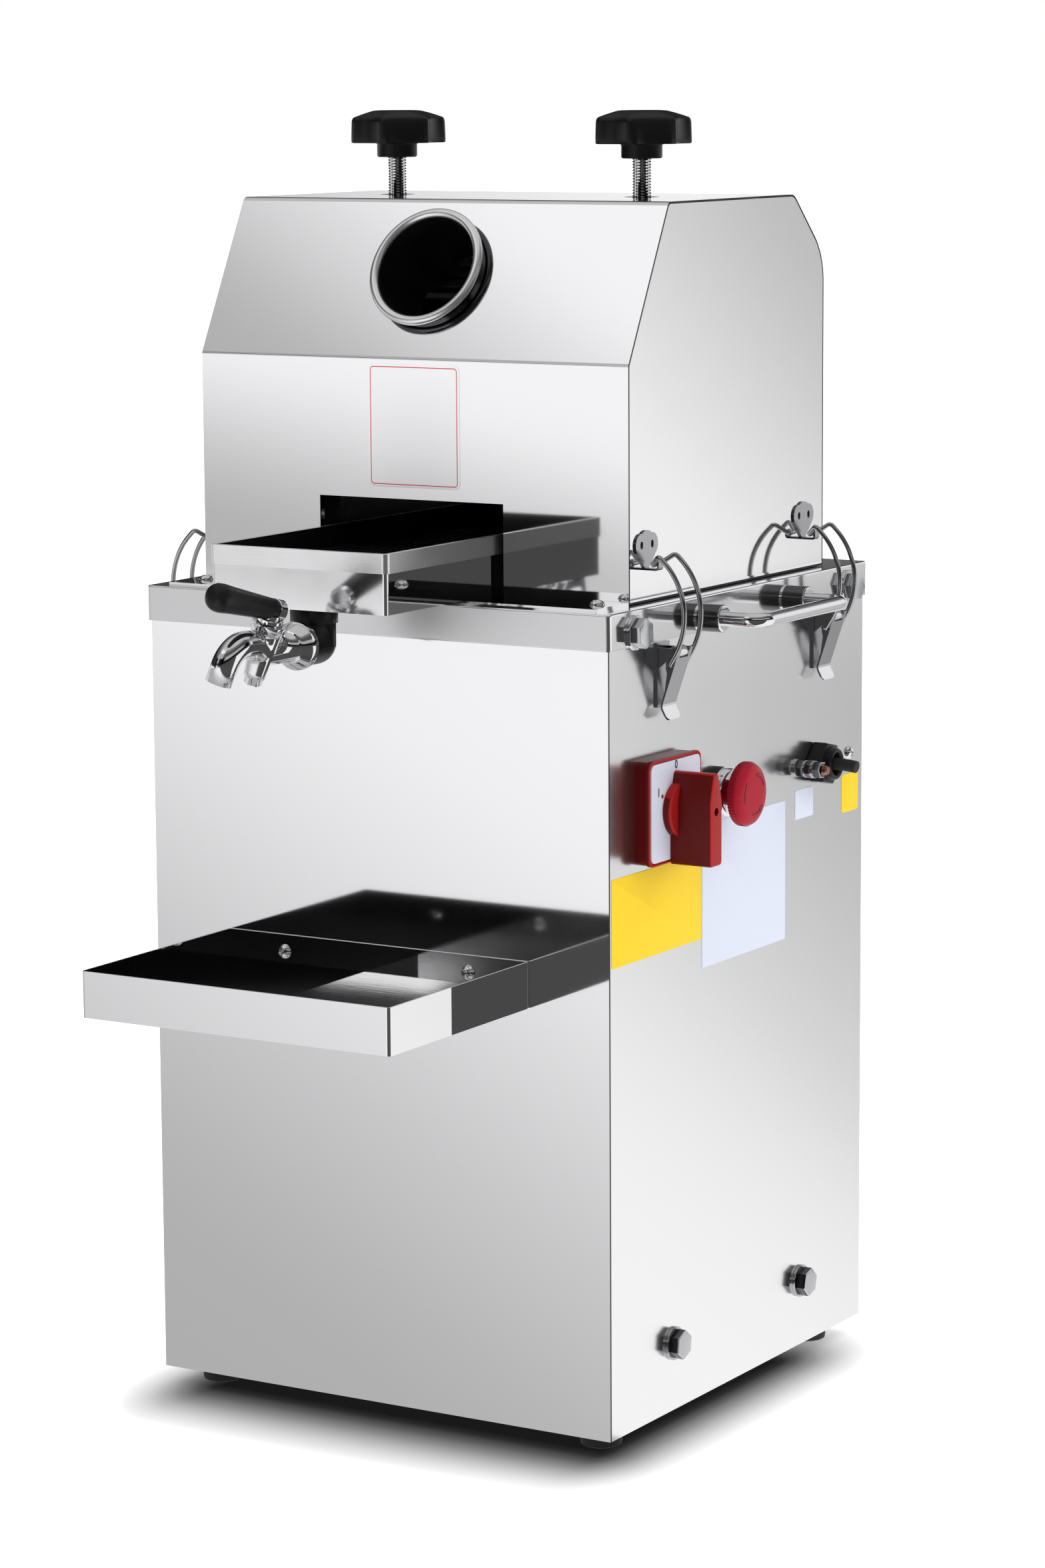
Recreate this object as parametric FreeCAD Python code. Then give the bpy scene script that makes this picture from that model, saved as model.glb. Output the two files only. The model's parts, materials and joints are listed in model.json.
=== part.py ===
import FreeCAD, Part
import math
import os
from FreeCAD import Vector

# Motor-driven sugarcane press: a square cabinet with the motor, a lift-off hood over three rollers,
# a juice tray with a tap in front, and a cup tray on the front panel.
# Millimetres. Origin: centre of the cabinet's footprint on the floor. +X right, +Y to the back, +Z up.

# ---- cabinet ----
cabinet_width = 330.0
cabinet_depth = 330.0
cabinet_height = 504.0
foot_height = 12.0
foot_radius = 13.0
foot_half_x = 141.0
foot_half_y = 135.0
panel_sheet = 1.5
deck_sheet = 1.5
skirt_height = 22.0
skirt_gap = 0.6
base_sheet = 2.0
angle_leg = 30.0
angle_sheet = 3.0
low_rail_height = 42.8
vent_rows = 7
vent_length = 150.0
vent_width = 5.0
vent_pitch = 14.0

# ---- hood ----
hood_width = 308.0
hood_front = -121.0
hood_back = 129.5
hood_bend_height = 143.0
head_to_hood_top = 19.0
slope_run = 49.0
top_back = 89.0
back_shoulder = 199.0
hood_sheet = 1.2
fold_radius = 5.0
shoulder_radius = 40.0
hood_clearance = 0.3
hood_side_gap = 0.2
stud_hole_radius = 11.0
juice_mouth_width = 133.0
juice_mouth_height = 57.0
strip_sheet = 2.0
strip_width = 40.0

# ---- feed tube ----
feed_bore_radius = 33.0
feed_wall = 2.0
feed_bead_radius = 3.0
feed_stand = 7.0
feed_depth = 48.0
feed_slope_share = 0.5426

# ---- roller head ----
head_plate = 12.0
head_width = 180.0
head_plate_width = 160.0
head_plate_height = 219.0
head_foot_width = 26.0
head_foot_sheet = 8.0
head_centre_y = 8.0
cap_height = 12.0
cap_overhang = 12.0
block_width = 44.0
block_height = 48.0
block_clearance = 0.1
top_axis_below_cap = 45.0
gap_travel = 2.0
roller_radius = 35.0
roller_length = 120.0
flute_count = 30
flute_depth = 1.2
lower_half_spacing = 40.0
shaft_radius = 12.5
running_clearance = 0.05
bush_wall = 3.5
bush_flange = 2.0
collar_radius = 18.0
collar_gap = 1.0
front_bar_below_axis = 96.0
rear_bar_above_axis = 22.0
head_bar_radius = 6.0
head_bar_inset = 12.0
turner_gap = 3.0

# ---- gears ----
gear_module = 3.0
roller_gear_teeth = 24
drive_gear_teeth = 32
idler_teeth = 28
gear_width = 20.0
gear_gap = 8.0
backlash = 0.35
roller_backlash = 1.2
pressure_angle = 20.0
axle_radius = 10.0

# ---- pressure screws ----
screw_radius = 6.0
screw_clearance = 0.05
screw_pitch = 1.75
pad_radius = 11.0
pad_height = 6.0
pad_recess = 3.0
knob_hub_radius = 12.8
knob_hub_height = 9.0
knob_stand = 23.7
knob_radius = 31.0
knob_height = 20.5
knob_lobes = 7

# ---- drive ----
gearbox_width = 80.0
gearbox_depth = 130.0
gearbox_height = 104.0
gearbox_gap = 6.0
seat_sheet = 6.0
output_radius = 12.0
motor_radius = 68.0
motor_length = 190.0
motor_flange_radius = 72.0
motor_flange_sheet = 12.0
fin_count = 24
fin_height = 7.0
fan_cover_length = 58.0
fan_cover_sheet = 2.0
worm_offset = 58.0

# ---- juice tray, strainer and tap ----
tray_width = 124.0
tray_length = 305.0
tray_height = 35.0
tray_reach = 80.0
tray_sheet = 1.2
tray_gap = 0.3
band_height = 10.5
band_sheet = 0.8
strainer_depth = 14.0
slot_width = 2.5
slot_length = 32.0
outlet_radius = 8.0
elbow_radius = 13.0
elbow_collar_radius = 14.3
elbow_collar_height = 9.0
elbow_from_front = 16.5
elbow_drop = 21.0
tap_reach = 56.0
tap_roll = 19.0
flange_radius = 14.6
flange_width = 8.0
neck_radius = 8.5
barrel_top_radius = 9.8
barrel_low_radius = 6.5
barrel_half = 15.0
spout_radius = 8.0
spout_bore_radius = 6.0
lever_rise = 11.0
lever_swing = 10.0
lever_length = 62.0
lever_thick_radius = 8.6
lever_thin_radius = 6.4

# ---- cup tray ----
cup_width = 219.0
cup_depth = 155.0
cup_height = 28.5
cup_base_height = 262.5
cup_sheet = 1.2
cup_screw_offset = 67.0

# ---- controls on the right panel ----
control_drop = 123.5
switch_y = -102.0
switch_size = 64.0
switch_stand = 10.3
switch_corner = 5.0
switch_bore = 11.0
handle_disc_radius = 20.0
handle_disc_height = 5.0
handle_above = 23.4
handle_below = 33.3
handle_width = 15.0
handle_tip_width = 6.0
handle_taper = 17.0
handle_height = 28.0
stop_y = -33.0
stop_bore = 11.2
bezel_radius = 15.5
bezel_stand = 12.0
stop_radius = 20.0
stop_face = 27.5
stop_rim = 9.0
stop_travel = 4.0
stud_y = 73.0
stud_radius = 3.0
stud_length = 23.0
gland_y = 100.0
gland_across = 25.0
gland_hex_length = 9.0
gland_cap_radius = 9.5
gland_cap_length = 8.0
cable_radius = 3.9
cable_outside = 16.0
cable_inside = 30.0
panel_screw_y = 146.0

# ---- side bolts and handles ----
bolt_radius = 5.0
bolt_across = 16.0
bolt_head = 6.4
bolt_length = 18.0
washer_radius = 10.5
washer_sheet = 2.0
upper_bolt_y = (-137.0, 139.0)
upper_bolt_drop = 13.5
lower_bolt_y = (-87.2, 79.9)
handle_half_span = 55.0
handle_drop = 13.0
handle_reach = 41.0
handle_rod_radius = 4.5
handle_bend_radius = 10.0
collar_bar_radius = 8.5
collar_bar_length = 16.0

# ---- latches ----
latch_y = 101.0
keeper_height = 35.0
keeper_side_radius = 7.0
keeper_side_out = 6.4
keeper_crown_radius = 10.5
keeper_crown = 8.7
keeper_hole_radius = 1.6
keeper_hole_length = 4.8
keeper_sheet = 1.2
hook_width = 5.6
hook_rise = 3.5
hook_clearance = 0.6
wire_radius = 1.5
wire_hook_out = 7.5
wire_hook_height = 23.5
wire_shoulder_out = 15.0
wire_shoulder_height = 29.5
wire_bulge_out = 44.5
wire_bulge_height = 1.0
wire_half_span = 10.2
lever_half_width = 8.3
lever_sheet = 1.2
pivot_out = 12.0
pivot_drop = 28.0
wire_pin_in = 1.2
wire_pin_drop = 7.8
lever_neck_drop = 30.0
lever_tip_drop = 41.0
ear_half_span = 5.6
ear_radius = 2.2

# ---- worked-out places ----
half_width = cabinet_width / 2
half_depth = cabinet_depth / 2
panel_floor = foot_height
deck_top = foot_height + cabinet_height
deck_under = deck_top - deck_sheet
skirt_out = skirt_gap + panel_sheet
hood_half = hood_width / 2
hood_floor = deck_top + hood_clearance
hood_top = deck_top + head_plate_height + head_to_hood_top
plate_half = head_plate / 2
head_half = head_width / 2
top_axis = deck_top + head_plate_height - top_axis_below_cap
centre_distance = gear_module * roller_gear_teeth
lower_axis = top_axis - math.sqrt(centre_distance ** 2 - lower_half_spacing ** 2)
front_axis_y = head_centre_y - lower_half_spacing
rear_axis_y = head_centre_y + lower_half_spacing
idler_axis = lower_axis - gear_module * (drive_gear_teeth + idler_teeth) / 2
output_axis = idler_axis - gear_module * (idler_teeth + drive_gear_teeth) / 2
gear_in = head_half + plate_half + gear_gap
gear_out = gear_in + gear_width
tray_floor = deck_top + strip_sheet
tray_rim = tray_floor + tray_height
tray_front = -half_depth - tray_reach
panel_x = half_width
control_z = deck_top - control_drop

parts = {}


def keep(name, *solids):
    """Names a node and the separate solids in it."""
    parts[name] = Part.makeCompound(list(solids)) if len(solids) > 1 else solids[0]


def block(x0, x1, y0, y1, z0, z1):
    return Part.makeBox(x1 - x0, y1 - y0, z1 - z0, Vector(x0, y0, z0))


def rod(start, along, radius, length):
    return Part.makeCylinder(radius, length, Vector(*start), Vector(*along))


def cone(start, along, first_radius, last_radius, length):
    return Part.makeCone(first_radius, last_radius, length, Vector(*start), Vector(*along))


def fused(solids):
    whole = solids[0].multiFuse(solids[1:]) if len(solids) > 1 else solids[0]
    return whole.removeSplitter()


def one(shape):
    """The single solid inside a boolean's result."""
    return shape.Solids[0] if len(shape.Solids) == 1 else shape


def prism(points, along):
    corners = [Vector(*p) for p in points]
    return Part.Face(Part.makePolygon(corners + corners[:1])).extrude(Vector(*along))


def mirrored(shape):
    return shape.mirror(Vector(0, 0, 0), Vector(1, 0, 0))


def on_both_sides(solids):
    return solids + [mirrored(s) for s in solids]


def rounded_run(points, radii):
    """Edges along straight runs joined by tangent arcs, one radius for each inner point."""
    edges = []
    here = points[0]
    for corner, after, before, radius in zip(points[1:-1], points[2:], points[:-2], radii):
        into = (corner - before).normalize()
        out = (after - corner).normalize()
        half_turn = into.getAngle(out) / 2
        setback = radius * math.tan(half_turn)
        start = corner - into * setback
        end = corner + out * setback
        inward = (out - into).normalize()
        middle = corner + inward * (radius / math.cos(half_turn) - radius)
        if (start - here).Length > 1e-6:
            edges.append(Part.LineSegment(here, start).toShape())
        edges.append(Part.Arc(start, middle, end).toShape())
        here = end
    if (points[-1] - here).Length > 1e-6:
        edges.append(Part.LineSegment(here, points[-1]).toShape())
    return edges


def round_bar(points, radii, radius):
    """A round bar or wire bent along the run."""
    path = Part.Wire(rounded_run(points, radii))
    ring = Part.Circle(points[0], points[1] - points[0], radius).toShape()
    return path.makePipeShell([Part.Wire([ring])], True, False)


def offset_outline(points, thickness):
    """The open outline moved to its left by a thickness, with mitred corners."""
    moved = []
    normals = []
    for a, b in zip(points[:-1], points[1:]):
        length = math.hypot(b[0] - a[0], b[1] - a[1])
        normals.append(((a[1] - b[1]) / length, (b[0] - a[0]) / length))
    for i, point in enumerate(points):
        first = normals[max(i - 1, 0)]
        second = normals[min(i, len(normals) - 1)]
        share = thickness / (1 + first[0] * second[0] + first[1] * second[1])
        moved.append((point[0] + share * (first[0] + second[0]), point[1] + share * (first[1] + second[1])))
    return moved


def bent_sheet(outline, radii, thickness, plane, low, high):
    """A sheet whose outer side follows an open outline in the plane 'yz' or 'xz', from low to high."""
    def place(pair):
        return Vector(low, pair[0], pair[1]) if plane == "yz" else Vector(pair[0], low, pair[1])
    inner = offset_outline(outline, thickness)
    inner_radii = []
    for before, corner, after, radius in zip(outline[:-2], outline[1:-1], outline[2:], radii):
        turn = ((corner[0] - before[0]) * (after[1] - corner[1])
                - (corner[1] - before[1]) * (after[0] - corner[0]))
        inner_radii.append(radius - math.copysign(thickness, thickness * turn))
    outside = rounded_run([place(p) for p in outline], radii)
    inside = rounded_run([place(p) for p in inner], inner_radii)
    ends = [Part.LineSegment(place(outline[0]), place(inner[0])).toShape(),
            Part.LineSegment(place(outline[-1]), place(inner[-1])).toShape()]
    face = Part.Face(Part.Wire(Part.__sortEdges__(outside + inside + ends)))
    across = Vector(high - low, 0, 0) if plane == "yz" else Vector(0, high - low, 0)
    return face.extrude(across)


def hexagon(start, along, across, length):
    """A hexagonal bar with the given width across its flats; two flats face up and down."""
    axis = Vector(*along).normalize()
    up = Vector(0, 0, 1) if abs(axis.z) < 0.9 else Vector(1, 0, 0)
    side = axis.cross(up).normalize()
    top = side.cross(axis)
    corner_radius = across / math.sqrt(3)
    corners = []
    for i in range(6):
        angle = math.radians(60 * i)
        corners.append(Vector(*start) + side * corner_radius * math.cos(angle)
                       + top * corner_radius * math.sin(angle))
    return Part.Face(Part.makePolygon(corners + corners[:1])).extrude(axis * length)


# ---- gears and rollers ----
def involute(angle):
    return math.tan(angle) - angle


def gear(y, z, teeth, phase, x0, x1, slack=backlash):
    """A spur gear across X with one tooth centred at the phase angle, from +Y towards +Z, in degrees."""
    pitch = gear_module * teeth / 2
    base = pitch * math.cos(math.radians(pressure_angle))
    tip = pitch + gear_module
    root = pitch - 1.25 * gear_module
    step = 2 * math.pi / teeth
    half_at_pitch = step / 4 - slack / (4 * pitch) + involute(math.radians(pressure_angle))

    def at(radius, angle):
        return Vector(x0, y + radius * math.cos(angle), z + radius * math.sin(angle))

    def half(radius):
        return half_at_pitch - involute(math.acos(min(1.0, base / radius)))
    middle = (max(base, root) + tip) / 2
    edges = []
    for i in range(teeth):
        centre = math.radians(phase) + i * step
        following = centre + step
        edges.append(Part.Arc(at(root, centre - half(base)), at(middle, centre - half(middle)),
                              at(tip, centre - half(tip))).toShape())
        edges.append(Part.Arc(at(tip, centre - half(tip)), at(tip, centre),
                              at(tip, centre + half(tip))).toShape())
        edges.append(Part.Arc(at(tip, centre + half(tip)), at(middle, centre + half(middle)),
                              at(root, centre + half(base))).toShape())
        edges.append(Part.Arc(at(root, centre + half(base)), at(root, centre + step / 2),
                              at(root, following - half(base))).toShape())
    return Part.Face(Part.Wire(edges)).extrude(Vector(x1 - x0, 0, 0))


def meshed_phase(phase, teeth, mate_teeth, line):
    """The phase of a mate lying at the angle line from a gear, so that its gaps take the gear's teeth."""
    return line + 180 - (phase - line) * teeth / mate_teeth + 180 / mate_teeth


def fluted_barrel(y, z):
    corners = []
    for i in range(2 * flute_count):
        angle = math.pi * i / flute_count
        radius = roller_radius - flute_depth * (i % 2)
        corners.append((-roller_length / 2, y + radius * math.cos(angle), z + radius * math.sin(angle)))
    return prism(corners, (roller_length, 0, 0))


def roller(y, z, left_end, right_end):
    """Fluted barrel, shoulders and journals, as one turned piece."""
    shoulder = head_half - plate_half - bush_flange - collar_gap
    return one(fused([fluted_barrel(y, z),
                      rod((-shoulder, y, z), (1, 0, 0), collar_radius, 2 * shoulder),
                      rod((left_end, y, z), (1, 0, 0), shaft_radius, right_end - left_end)]))


def spacer_and_gear(y, z, teeth, phase, side, slack=backlash):
    """A gear with its hub ring against the side plate; side is -1 on the left and 1 on the right."""
    blank = gear(y, z, teeth, phase, gear_in, gear_out, slack)
    hub_start = head_half + plate_half + bush_flange + collar_gap
    blank = fused([blank, rod((hub_start, y, z), (1, 0, 0), collar_radius, gear_in - hub_start + 1)])
    blank = one(blank.cut(rod((hub_start - 1, y, z), (1, 0, 0), shaft_radius, gear_out - hub_start + 2)))
    return blank if side > 0 else one(mirrored(blank))


def make_rollers():
    shaft_end = gear_out + 3
    stub = head_half + plate_half + bush_flange + collar_gap
    keep("top_roller", roller(head_centre_y, top_axis, -shaft_end, stub))
    keep("front_roller", roller(front_axis_y, lower_axis, -shaft_end, stub))
    keep("rear_roller", roller(rear_axis_y, lower_axis, -shaft_end, shaft_end))
    drop = math.degrees(math.asin(lower_half_spacing / centre_distance))
    top_phase = 270.0
    keep("top_gear", spacer_and_gear(head_centre_y, top_axis, roller_gear_teeth, top_phase, -1,
                                     roller_backlash))
    front_line = 270 - drop
    rear_line = 270 + drop
    keep("front_gear", spacer_and_gear(front_axis_y, lower_axis, roller_gear_teeth,
                                       meshed_phase(top_phase, roller_gear_teeth, roller_gear_teeth,
                                                    front_line), -1,
                                       roller_backlash))
    left_gear = spacer_and_gear(rear_axis_y, lower_axis, roller_gear_teeth,
                                meshed_phase(top_phase, roller_gear_teeth, roller_gear_teeth, rear_line),
                                -1, roller_backlash)
    drive_phase = 270 + 180 / drive_gear_teeth
    driven_gear = spacer_and_gear(rear_axis_y, lower_axis, drive_gear_teeth, drive_phase, 1)
    keep("rear_gears", left_gear, driven_gear)
    idler_phase = meshed_phase(drive_phase, drive_gear_teeth, idler_teeth, 270)
    idler = gear(rear_axis_y, idler_axis, idler_teeth, idler_phase, gear_in, gear_out)
    idler = fused([idler, rod((gear_in - gear_gap + collar_gap, rear_axis_y, idler_axis), (1, 0, 0),
                              collar_radius, gear_gap)])
    idler = idler.cut(rod((gear_in - gear_gap, rear_axis_y, idler_axis), (1, 0, 0),
                          axle_radius + running_clearance, gear_width + 2 * gear_gap))
    keep("idler_gear", one(idler))
    pinion_phase = meshed_phase(idler_phase, idler_teeth, drive_gear_teeth, 270)
    pinion = gear(rear_axis_y, output_axis, drive_gear_teeth, pinion_phase, gear_in, gear_out)
    pinion = one(pinion.cut(rod((gear_in - 1, rear_axis_y, output_axis), (1, 0, 0), output_radius,
                                gear_width + 2)))
    shaft_start = head_half - gearbox_width + 4
    shaft = rod((shaft_start, rear_axis_y, output_axis), (1, 0, 0), output_radius,
                gear_out + 3 - shaft_start)
    keep("output_shaft", shaft, pinion)


# ---- roller head ----
def head_side(x):
    """A side plate with an open slot for the bearing block, a foot, and seats for the lower bushes."""
    x0 = x - plate_half
    half = head_plate_width / 2
    plate = block(x0, x0 + head_plate, head_centre_y - half, head_centre_y + half,
                  deck_top, deck_top + head_plate_height)
    inward = -1 if x > 0 else 1
    foot_x0 = min(x - inward * plate_half, x + inward * head_foot_width)
    foot = block(foot_x0, foot_x0 + head_foot_width + plate_half, head_centre_y - half,
                 head_centre_y + half,
                 deck_top, deck_top + head_foot_sheet)
    plate = fused([plate, foot])
    slot_half = block_width / 2 + block_clearance
    slot_floor = top_axis - block_height / 2
    plate = plate.cut(block(x0 - 1, x0 + head_plate + 1, head_centre_y - slot_half,
                            head_centre_y + slot_half,
                            slot_floor, deck_top + head_plate_height + 1))
    for y in (front_axis_y, rear_axis_y):
        plate = plate.cut(rod((x0 - 1, y, lower_axis), (1, 0, 0),
                              shaft_radius + running_clearance + bush_wall,
                              head_plate + 2))
    if x > 0:
        plate = plate.cut(rod((x0 - 1, rear_axis_y, idler_axis), (1, 0, 0), axle_radius, head_plate + 2))
    return one(plate)


def flanged_bush(y, side):
    """A bronze bush pressed in a side plate, with a flange on each face of the plate's inner side."""
    x0 = head_half - plate_half
    bush = rod((x0 - bush_flange, y, lower_axis), (1, 0, 0), shaft_radius + running_clearance + bush_wall,
               head_plate + 2 * bush_flange)
    flange = rod((x0 - bush_flange, y, lower_axis), (1, 0, 0), collar_radius + 2, bush_flange)
    bush = fused([bush, flange])
    bush = one(bush.cut(rod((x0 - 10, y, lower_axis), (1, 0, 0), shaft_radius + running_clearance,
                            head_plate + 20)))
    return bush if side > 0 else one(mirrored(bush))


def make_head():
    keep("head_sides", head_side(-head_half), head_side(head_half))
    keep("roller_bushes", *[flanged_bush(y, side) for y in (front_axis_y, rear_axis_y) for side in (-1, 1)])
    plate_top = deck_top + head_plate_height
    cap_half = block_width / 2 + cap_overhang
    pieces = []
    for side in (-1, 1):
        x = side * head_half
        cap = block(x - plate_half - 2, x + plate_half + 2, head_centre_y - cap_half,
                    head_centre_y + cap_half,
                    plate_top, plate_top + cap_height)
        pieces.append(one(cap.cut(rod((x, head_centre_y, plate_top - 1), (0, 0, 1),
                                      screw_radius + screw_clearance, cap_height + 2))))
    bar_y = head_plate_width / 2 - head_bar_inset
    for y, z in ((head_centre_y - bar_y, top_axis - front_bar_below_axis),
                 (head_centre_y + bar_y, top_axis + rear_bar_above_axis)):
        pieces.append(rod((plate_half - head_half, y, z), (1, 0, 0), head_bar_radius,
                          head_width - head_plate))
    axle_start = head_half - plate_half
    axle = fused([rod((axle_start, rear_axis_y, idler_axis), (1, 0, 0), axle_radius,
                      gear_out + 1 - axle_start),
                  rod((gear_out + 0.5, rear_axis_y, idler_axis), (1, 0, 0), axle_radius + 4, 3)])
    pieces.append(one(axle))
    keep("head_bars", *pieces)
    blocks = []
    for side in (-1, 1):
        x = side * head_half
        centre = top_axis
        body = block(x - plate_half + 0.5, x + plate_half - 0.5, head_centre_y - block_width / 2,
                     head_centre_y + block_width / 2, centre - block_height / 2, centre + block_height / 2)
        blocks.append(one(body.cut(rod((x - head_plate, head_centre_y, centre), (1, 0, 0),
                                       shaft_radius + running_clearance, 2 * head_plate))))
    keep("bearing_blocks", *blocks)
    y = head_centre_y
    neck = lower_half_spacing - roller_radius - turner_gap + 1
    head_low = top_axis - roller_radius - 3.5
    flat = math.sqrt(roller_radius ** 2 - (head_low - lower_axis) ** 2)
    wing = lower_half_spacing - flat - turner_gap + 0.5
    inner = plate_half - head_half
    turner = prism([(inner, y - wing, head_low), (inner, y + wing, head_low),
                    (inner, y + neck, head_low - 12),
                    (inner, y + neck, lower_axis - 26), (inner, y - neck, lower_axis - 26),
                    (inner, y - neck, head_low - 12)], (head_width - head_plate, 0, 0))
    for side in (-1, 1):
        clear = rod((side * (roller_length / 2 + 1), y - lower_half_spacing, lower_axis), (side, 0, 0),
                    collar_radius + 1, head_half)
        turner = turner.cut(clear)
    keep("turner_plate", one(turner))


# ---- cabinet ----
def angle_post(x_side, y_side):
    """A corner post; its two legs lie against the two panels."""
    x = x_side * (half_width - panel_sheet)
    y = y_side * (half_depth - panel_sheet)
    z0 = panel_floor + base_sheet
    xs = sorted((x, x - x_side * angle_leg))
    xt = sorted((x, x - x_side * angle_sheet))
    ys = sorted((y, y - y_side * angle_leg))
    yt = sorted((y, y - y_side * angle_sheet))
    return fused([block(xs[0], xs[1], yt[0], yt[1], z0, deck_under),
                  block(xt[0], xt[1], ys[0], ys[1], z0, deck_under)])


def side_rail(x_side, z0, z1):
    x = x_side * (half_width - panel_sheet)
    xt = sorted((x, x - x_side * angle_sheet))
    y = half_depth - panel_sheet - angle_leg
    return block(xt[0], xt[1], -y, y, z0, z1)


def gear_slot(z0, z1):
    margin = 3.0
    reach = gear_module * (idler_teeth / 2 + 1) + margin
    return block(gear_in - margin, gear_out + margin, rear_axis_y - reach, rear_axis_y + reach, z0, z1)


def make_chassis():
    """Floor plate, four angle posts and the rails between them, welded face to face, and the gearbox seat."""
    inner_x = half_width - panel_sheet
    inner_y = half_depth - panel_sheet
    bars = [block(-inner_x, inner_x, -inner_y, inner_y, panel_floor, panel_floor + base_sheet)]
    low = foot_height + low_rail_height
    for x_side in (-1, 1):
        for y_side in (-1, 1):
            bars.append(angle_post(x_side, y_side))
        bars.append(side_rail(x_side, low - angle_leg / 2, low + angle_leg / 2))
        bars.append(side_rail(x_side, deck_under - angle_leg, deck_under))
        rail_x = x_side * head_half
        bars.append(block(rail_x - 10, rail_x + 10, angle_sheet - inner_y, inner_y - angle_sheet,
                          deck_under - angle_sheet, deck_under))
    for y_side in (-1, 1):
        y = y_side * inner_y
        yt = sorted((y, y - y_side * angle_sheet))
        reach = inner_x - angle_leg
        bars.append(block(-reach, reach, yt[0], yt[1], deck_under - angle_leg, deck_under))
    seat_top = deck_under - angle_sheet
    seat_y0 = rear_axis_y - gearbox_depth / 2
    bars.append(block(-head_half - 10, head_half + 10, seat_y0, seat_y0 + gearbox_depth,
                      seat_top - seat_sheet, seat_top))
    holes = [gear_slot(panel_floor + 100, deck_under + 1)] + bolt_holes()
    holes += [rod((x, y, panel_floor - 1), (0, 0, 1), 3.2, base_sheet + 2) for x, y in foot_places()]
    holes.append(rod((half_width - 10, panel_screw_y, control_z), (1, 0, 0), 2.0, 12))
    holes += [rod((x, half_depth - 10, z), (0, 1, 0), 2.0, 12) for x, z in rear_screw_places()]
    drilled = []
    for bar in bars:
        for hole in holes:
            if bar.BoundBox.intersect(hole.BoundBox):
                bar = bar.cut(hole)
        drilled.append(one(bar))
    keep("chassis", *drilled)


def foot_places():
    return [(sx * foot_half_x, sy * foot_half_y) for sx in (-1, 1) for sy in (-1, 1)]


def bolt_places():
    """(y, z, panel thickness under the washer) of the bolts on one side."""
    upper = [(y, deck_top - upper_bolt_drop, skirt_out) for y in upper_bolt_y]
    lower = [(y, foot_height + low_rail_height, 0.0) for y in lower_bolt_y]
    return upper + lower


def bolt_holes():
    holes = []
    for y, z, out in bolt_places():
        holes.append(rod((half_width - 20, y, z), (1, 0, 0), bolt_radius, 30))
    return on_both_sides(holes)


def make_feet():
    feet = []
    for x, y in foot_places():
        pad = fused([cone((x, y, 0), (0, 0, 1), foot_radius - 1.5, foot_radius, 3),
                     rod((x, y, 3), (0, 0, 1), foot_radius, foot_height - 3)])
        feet.append(one(pad.cut(rod((x, y, -1), (0, 0, 1), 6, 6))))
    keep("rubber_feet", *feet)


def make_panels():
    top = deck_under
    y_in = half_depth - panel_sheet
    front = block(-half_width, half_width, -half_depth, -y_in, panel_floor, top)
    for side in (-1, 1):
        front = front.cut(rod((side * cup_screw_offset, -half_depth - 1,
                               foot_height + cup_base_height + cup_screw_rise()),
                              (0, 1, 0), 2.0, 6))
    keep("front_panel", one(front))
    left = block(-half_width, -half_width + panel_sheet, -y_in, y_in, panel_floor, top)
    right = block(half_width - panel_sheet, half_width, -y_in, y_in, panel_floor, top)
    for hole in bolt_holes():
        left = left.cut(hole)
        right = right.cut(hole)
    for y, radius in ((switch_y, switch_bore), (stop_y, stop_bore), (stud_y, stud_radius),
                      (gland_y, gland_thread_radius()), (panel_screw_y, 2.0)):
        right = right.cut(rod((half_width - 5, y, control_z), (1, 0, 0), radius, 10))
    keep("left_panel", one(left))
    keep("right_panel", one(right))
    rear = block(-half_width, half_width, y_in, half_depth, panel_floor, top)
    first = deck_top - 120 - vent_pitch * (vent_rows - 1)
    for row in range(vent_rows):
        z = first + row * vent_pitch
        slot = fused([block(-vent_length / 2, vent_length / 2, y_in - 1, half_depth + 1,
                            z - vent_width / 2, z + vent_width / 2),
                      rod((-vent_length / 2, y_in - 1, z), (0, 1, 0), vent_width / 2, panel_sheet + 2),
                      rod((vent_length / 2, y_in - 1, z), (0, 1, 0), vent_width / 2, panel_sheet + 2)])
        rear = rear.cut(slot)
    for x, z in rear_screw_places():
        rear = rear.cut(rod((x, y_in - 1, z), (0, 1, 0), 2.0, panel_sheet + 2))
    keep("rear_cover", one(rear))


def rear_screw_places():
    x = half_width - panel_sheet - angle_leg / 2
    return [(sx * x, z) for sx in (-1, 1) for z in (foot_height + 30, foot_height + cabinet_height / 2,
                                                     deck_top - skirt_height - 12)]


def make_deck():
    out = half_width + skirt_out
    out_y = half_depth + skirt_out
    shell = block(-out, out, -out_y, out_y, deck_top - skirt_height, deck_top)
    corner_edges = [e for e in shell.Edges if e.BoundBox.ZLength > skirt_height / 2]
    shell = shell.makeFillet(3.0, corner_edges)
    rim_edges = [e for e in shell.Edges if e.BoundBox.ZMin > deck_top - 1e-3]
    shell = shell.makeFillet(1.2, rim_edges)
    inside = block(panel_sheet - out, out - panel_sheet, panel_sheet - out_y, out_y - panel_sheet,
                   deck_top - skirt_height - 1, deck_under)
    deck = shell.cut(inside).cut(gear_slot(deck_under - 1, deck_top + 1))
    for hole in bolt_holes():
        deck = deck.cut(hole)
    for side in (-1, 1):
        deck = deck.cut(rod((side * strip_screw_x(), strip_screw_y(), deck_top - 10), (0, 0, 1), 2.0, 12))
    keep("top_deck", one(deck))


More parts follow.
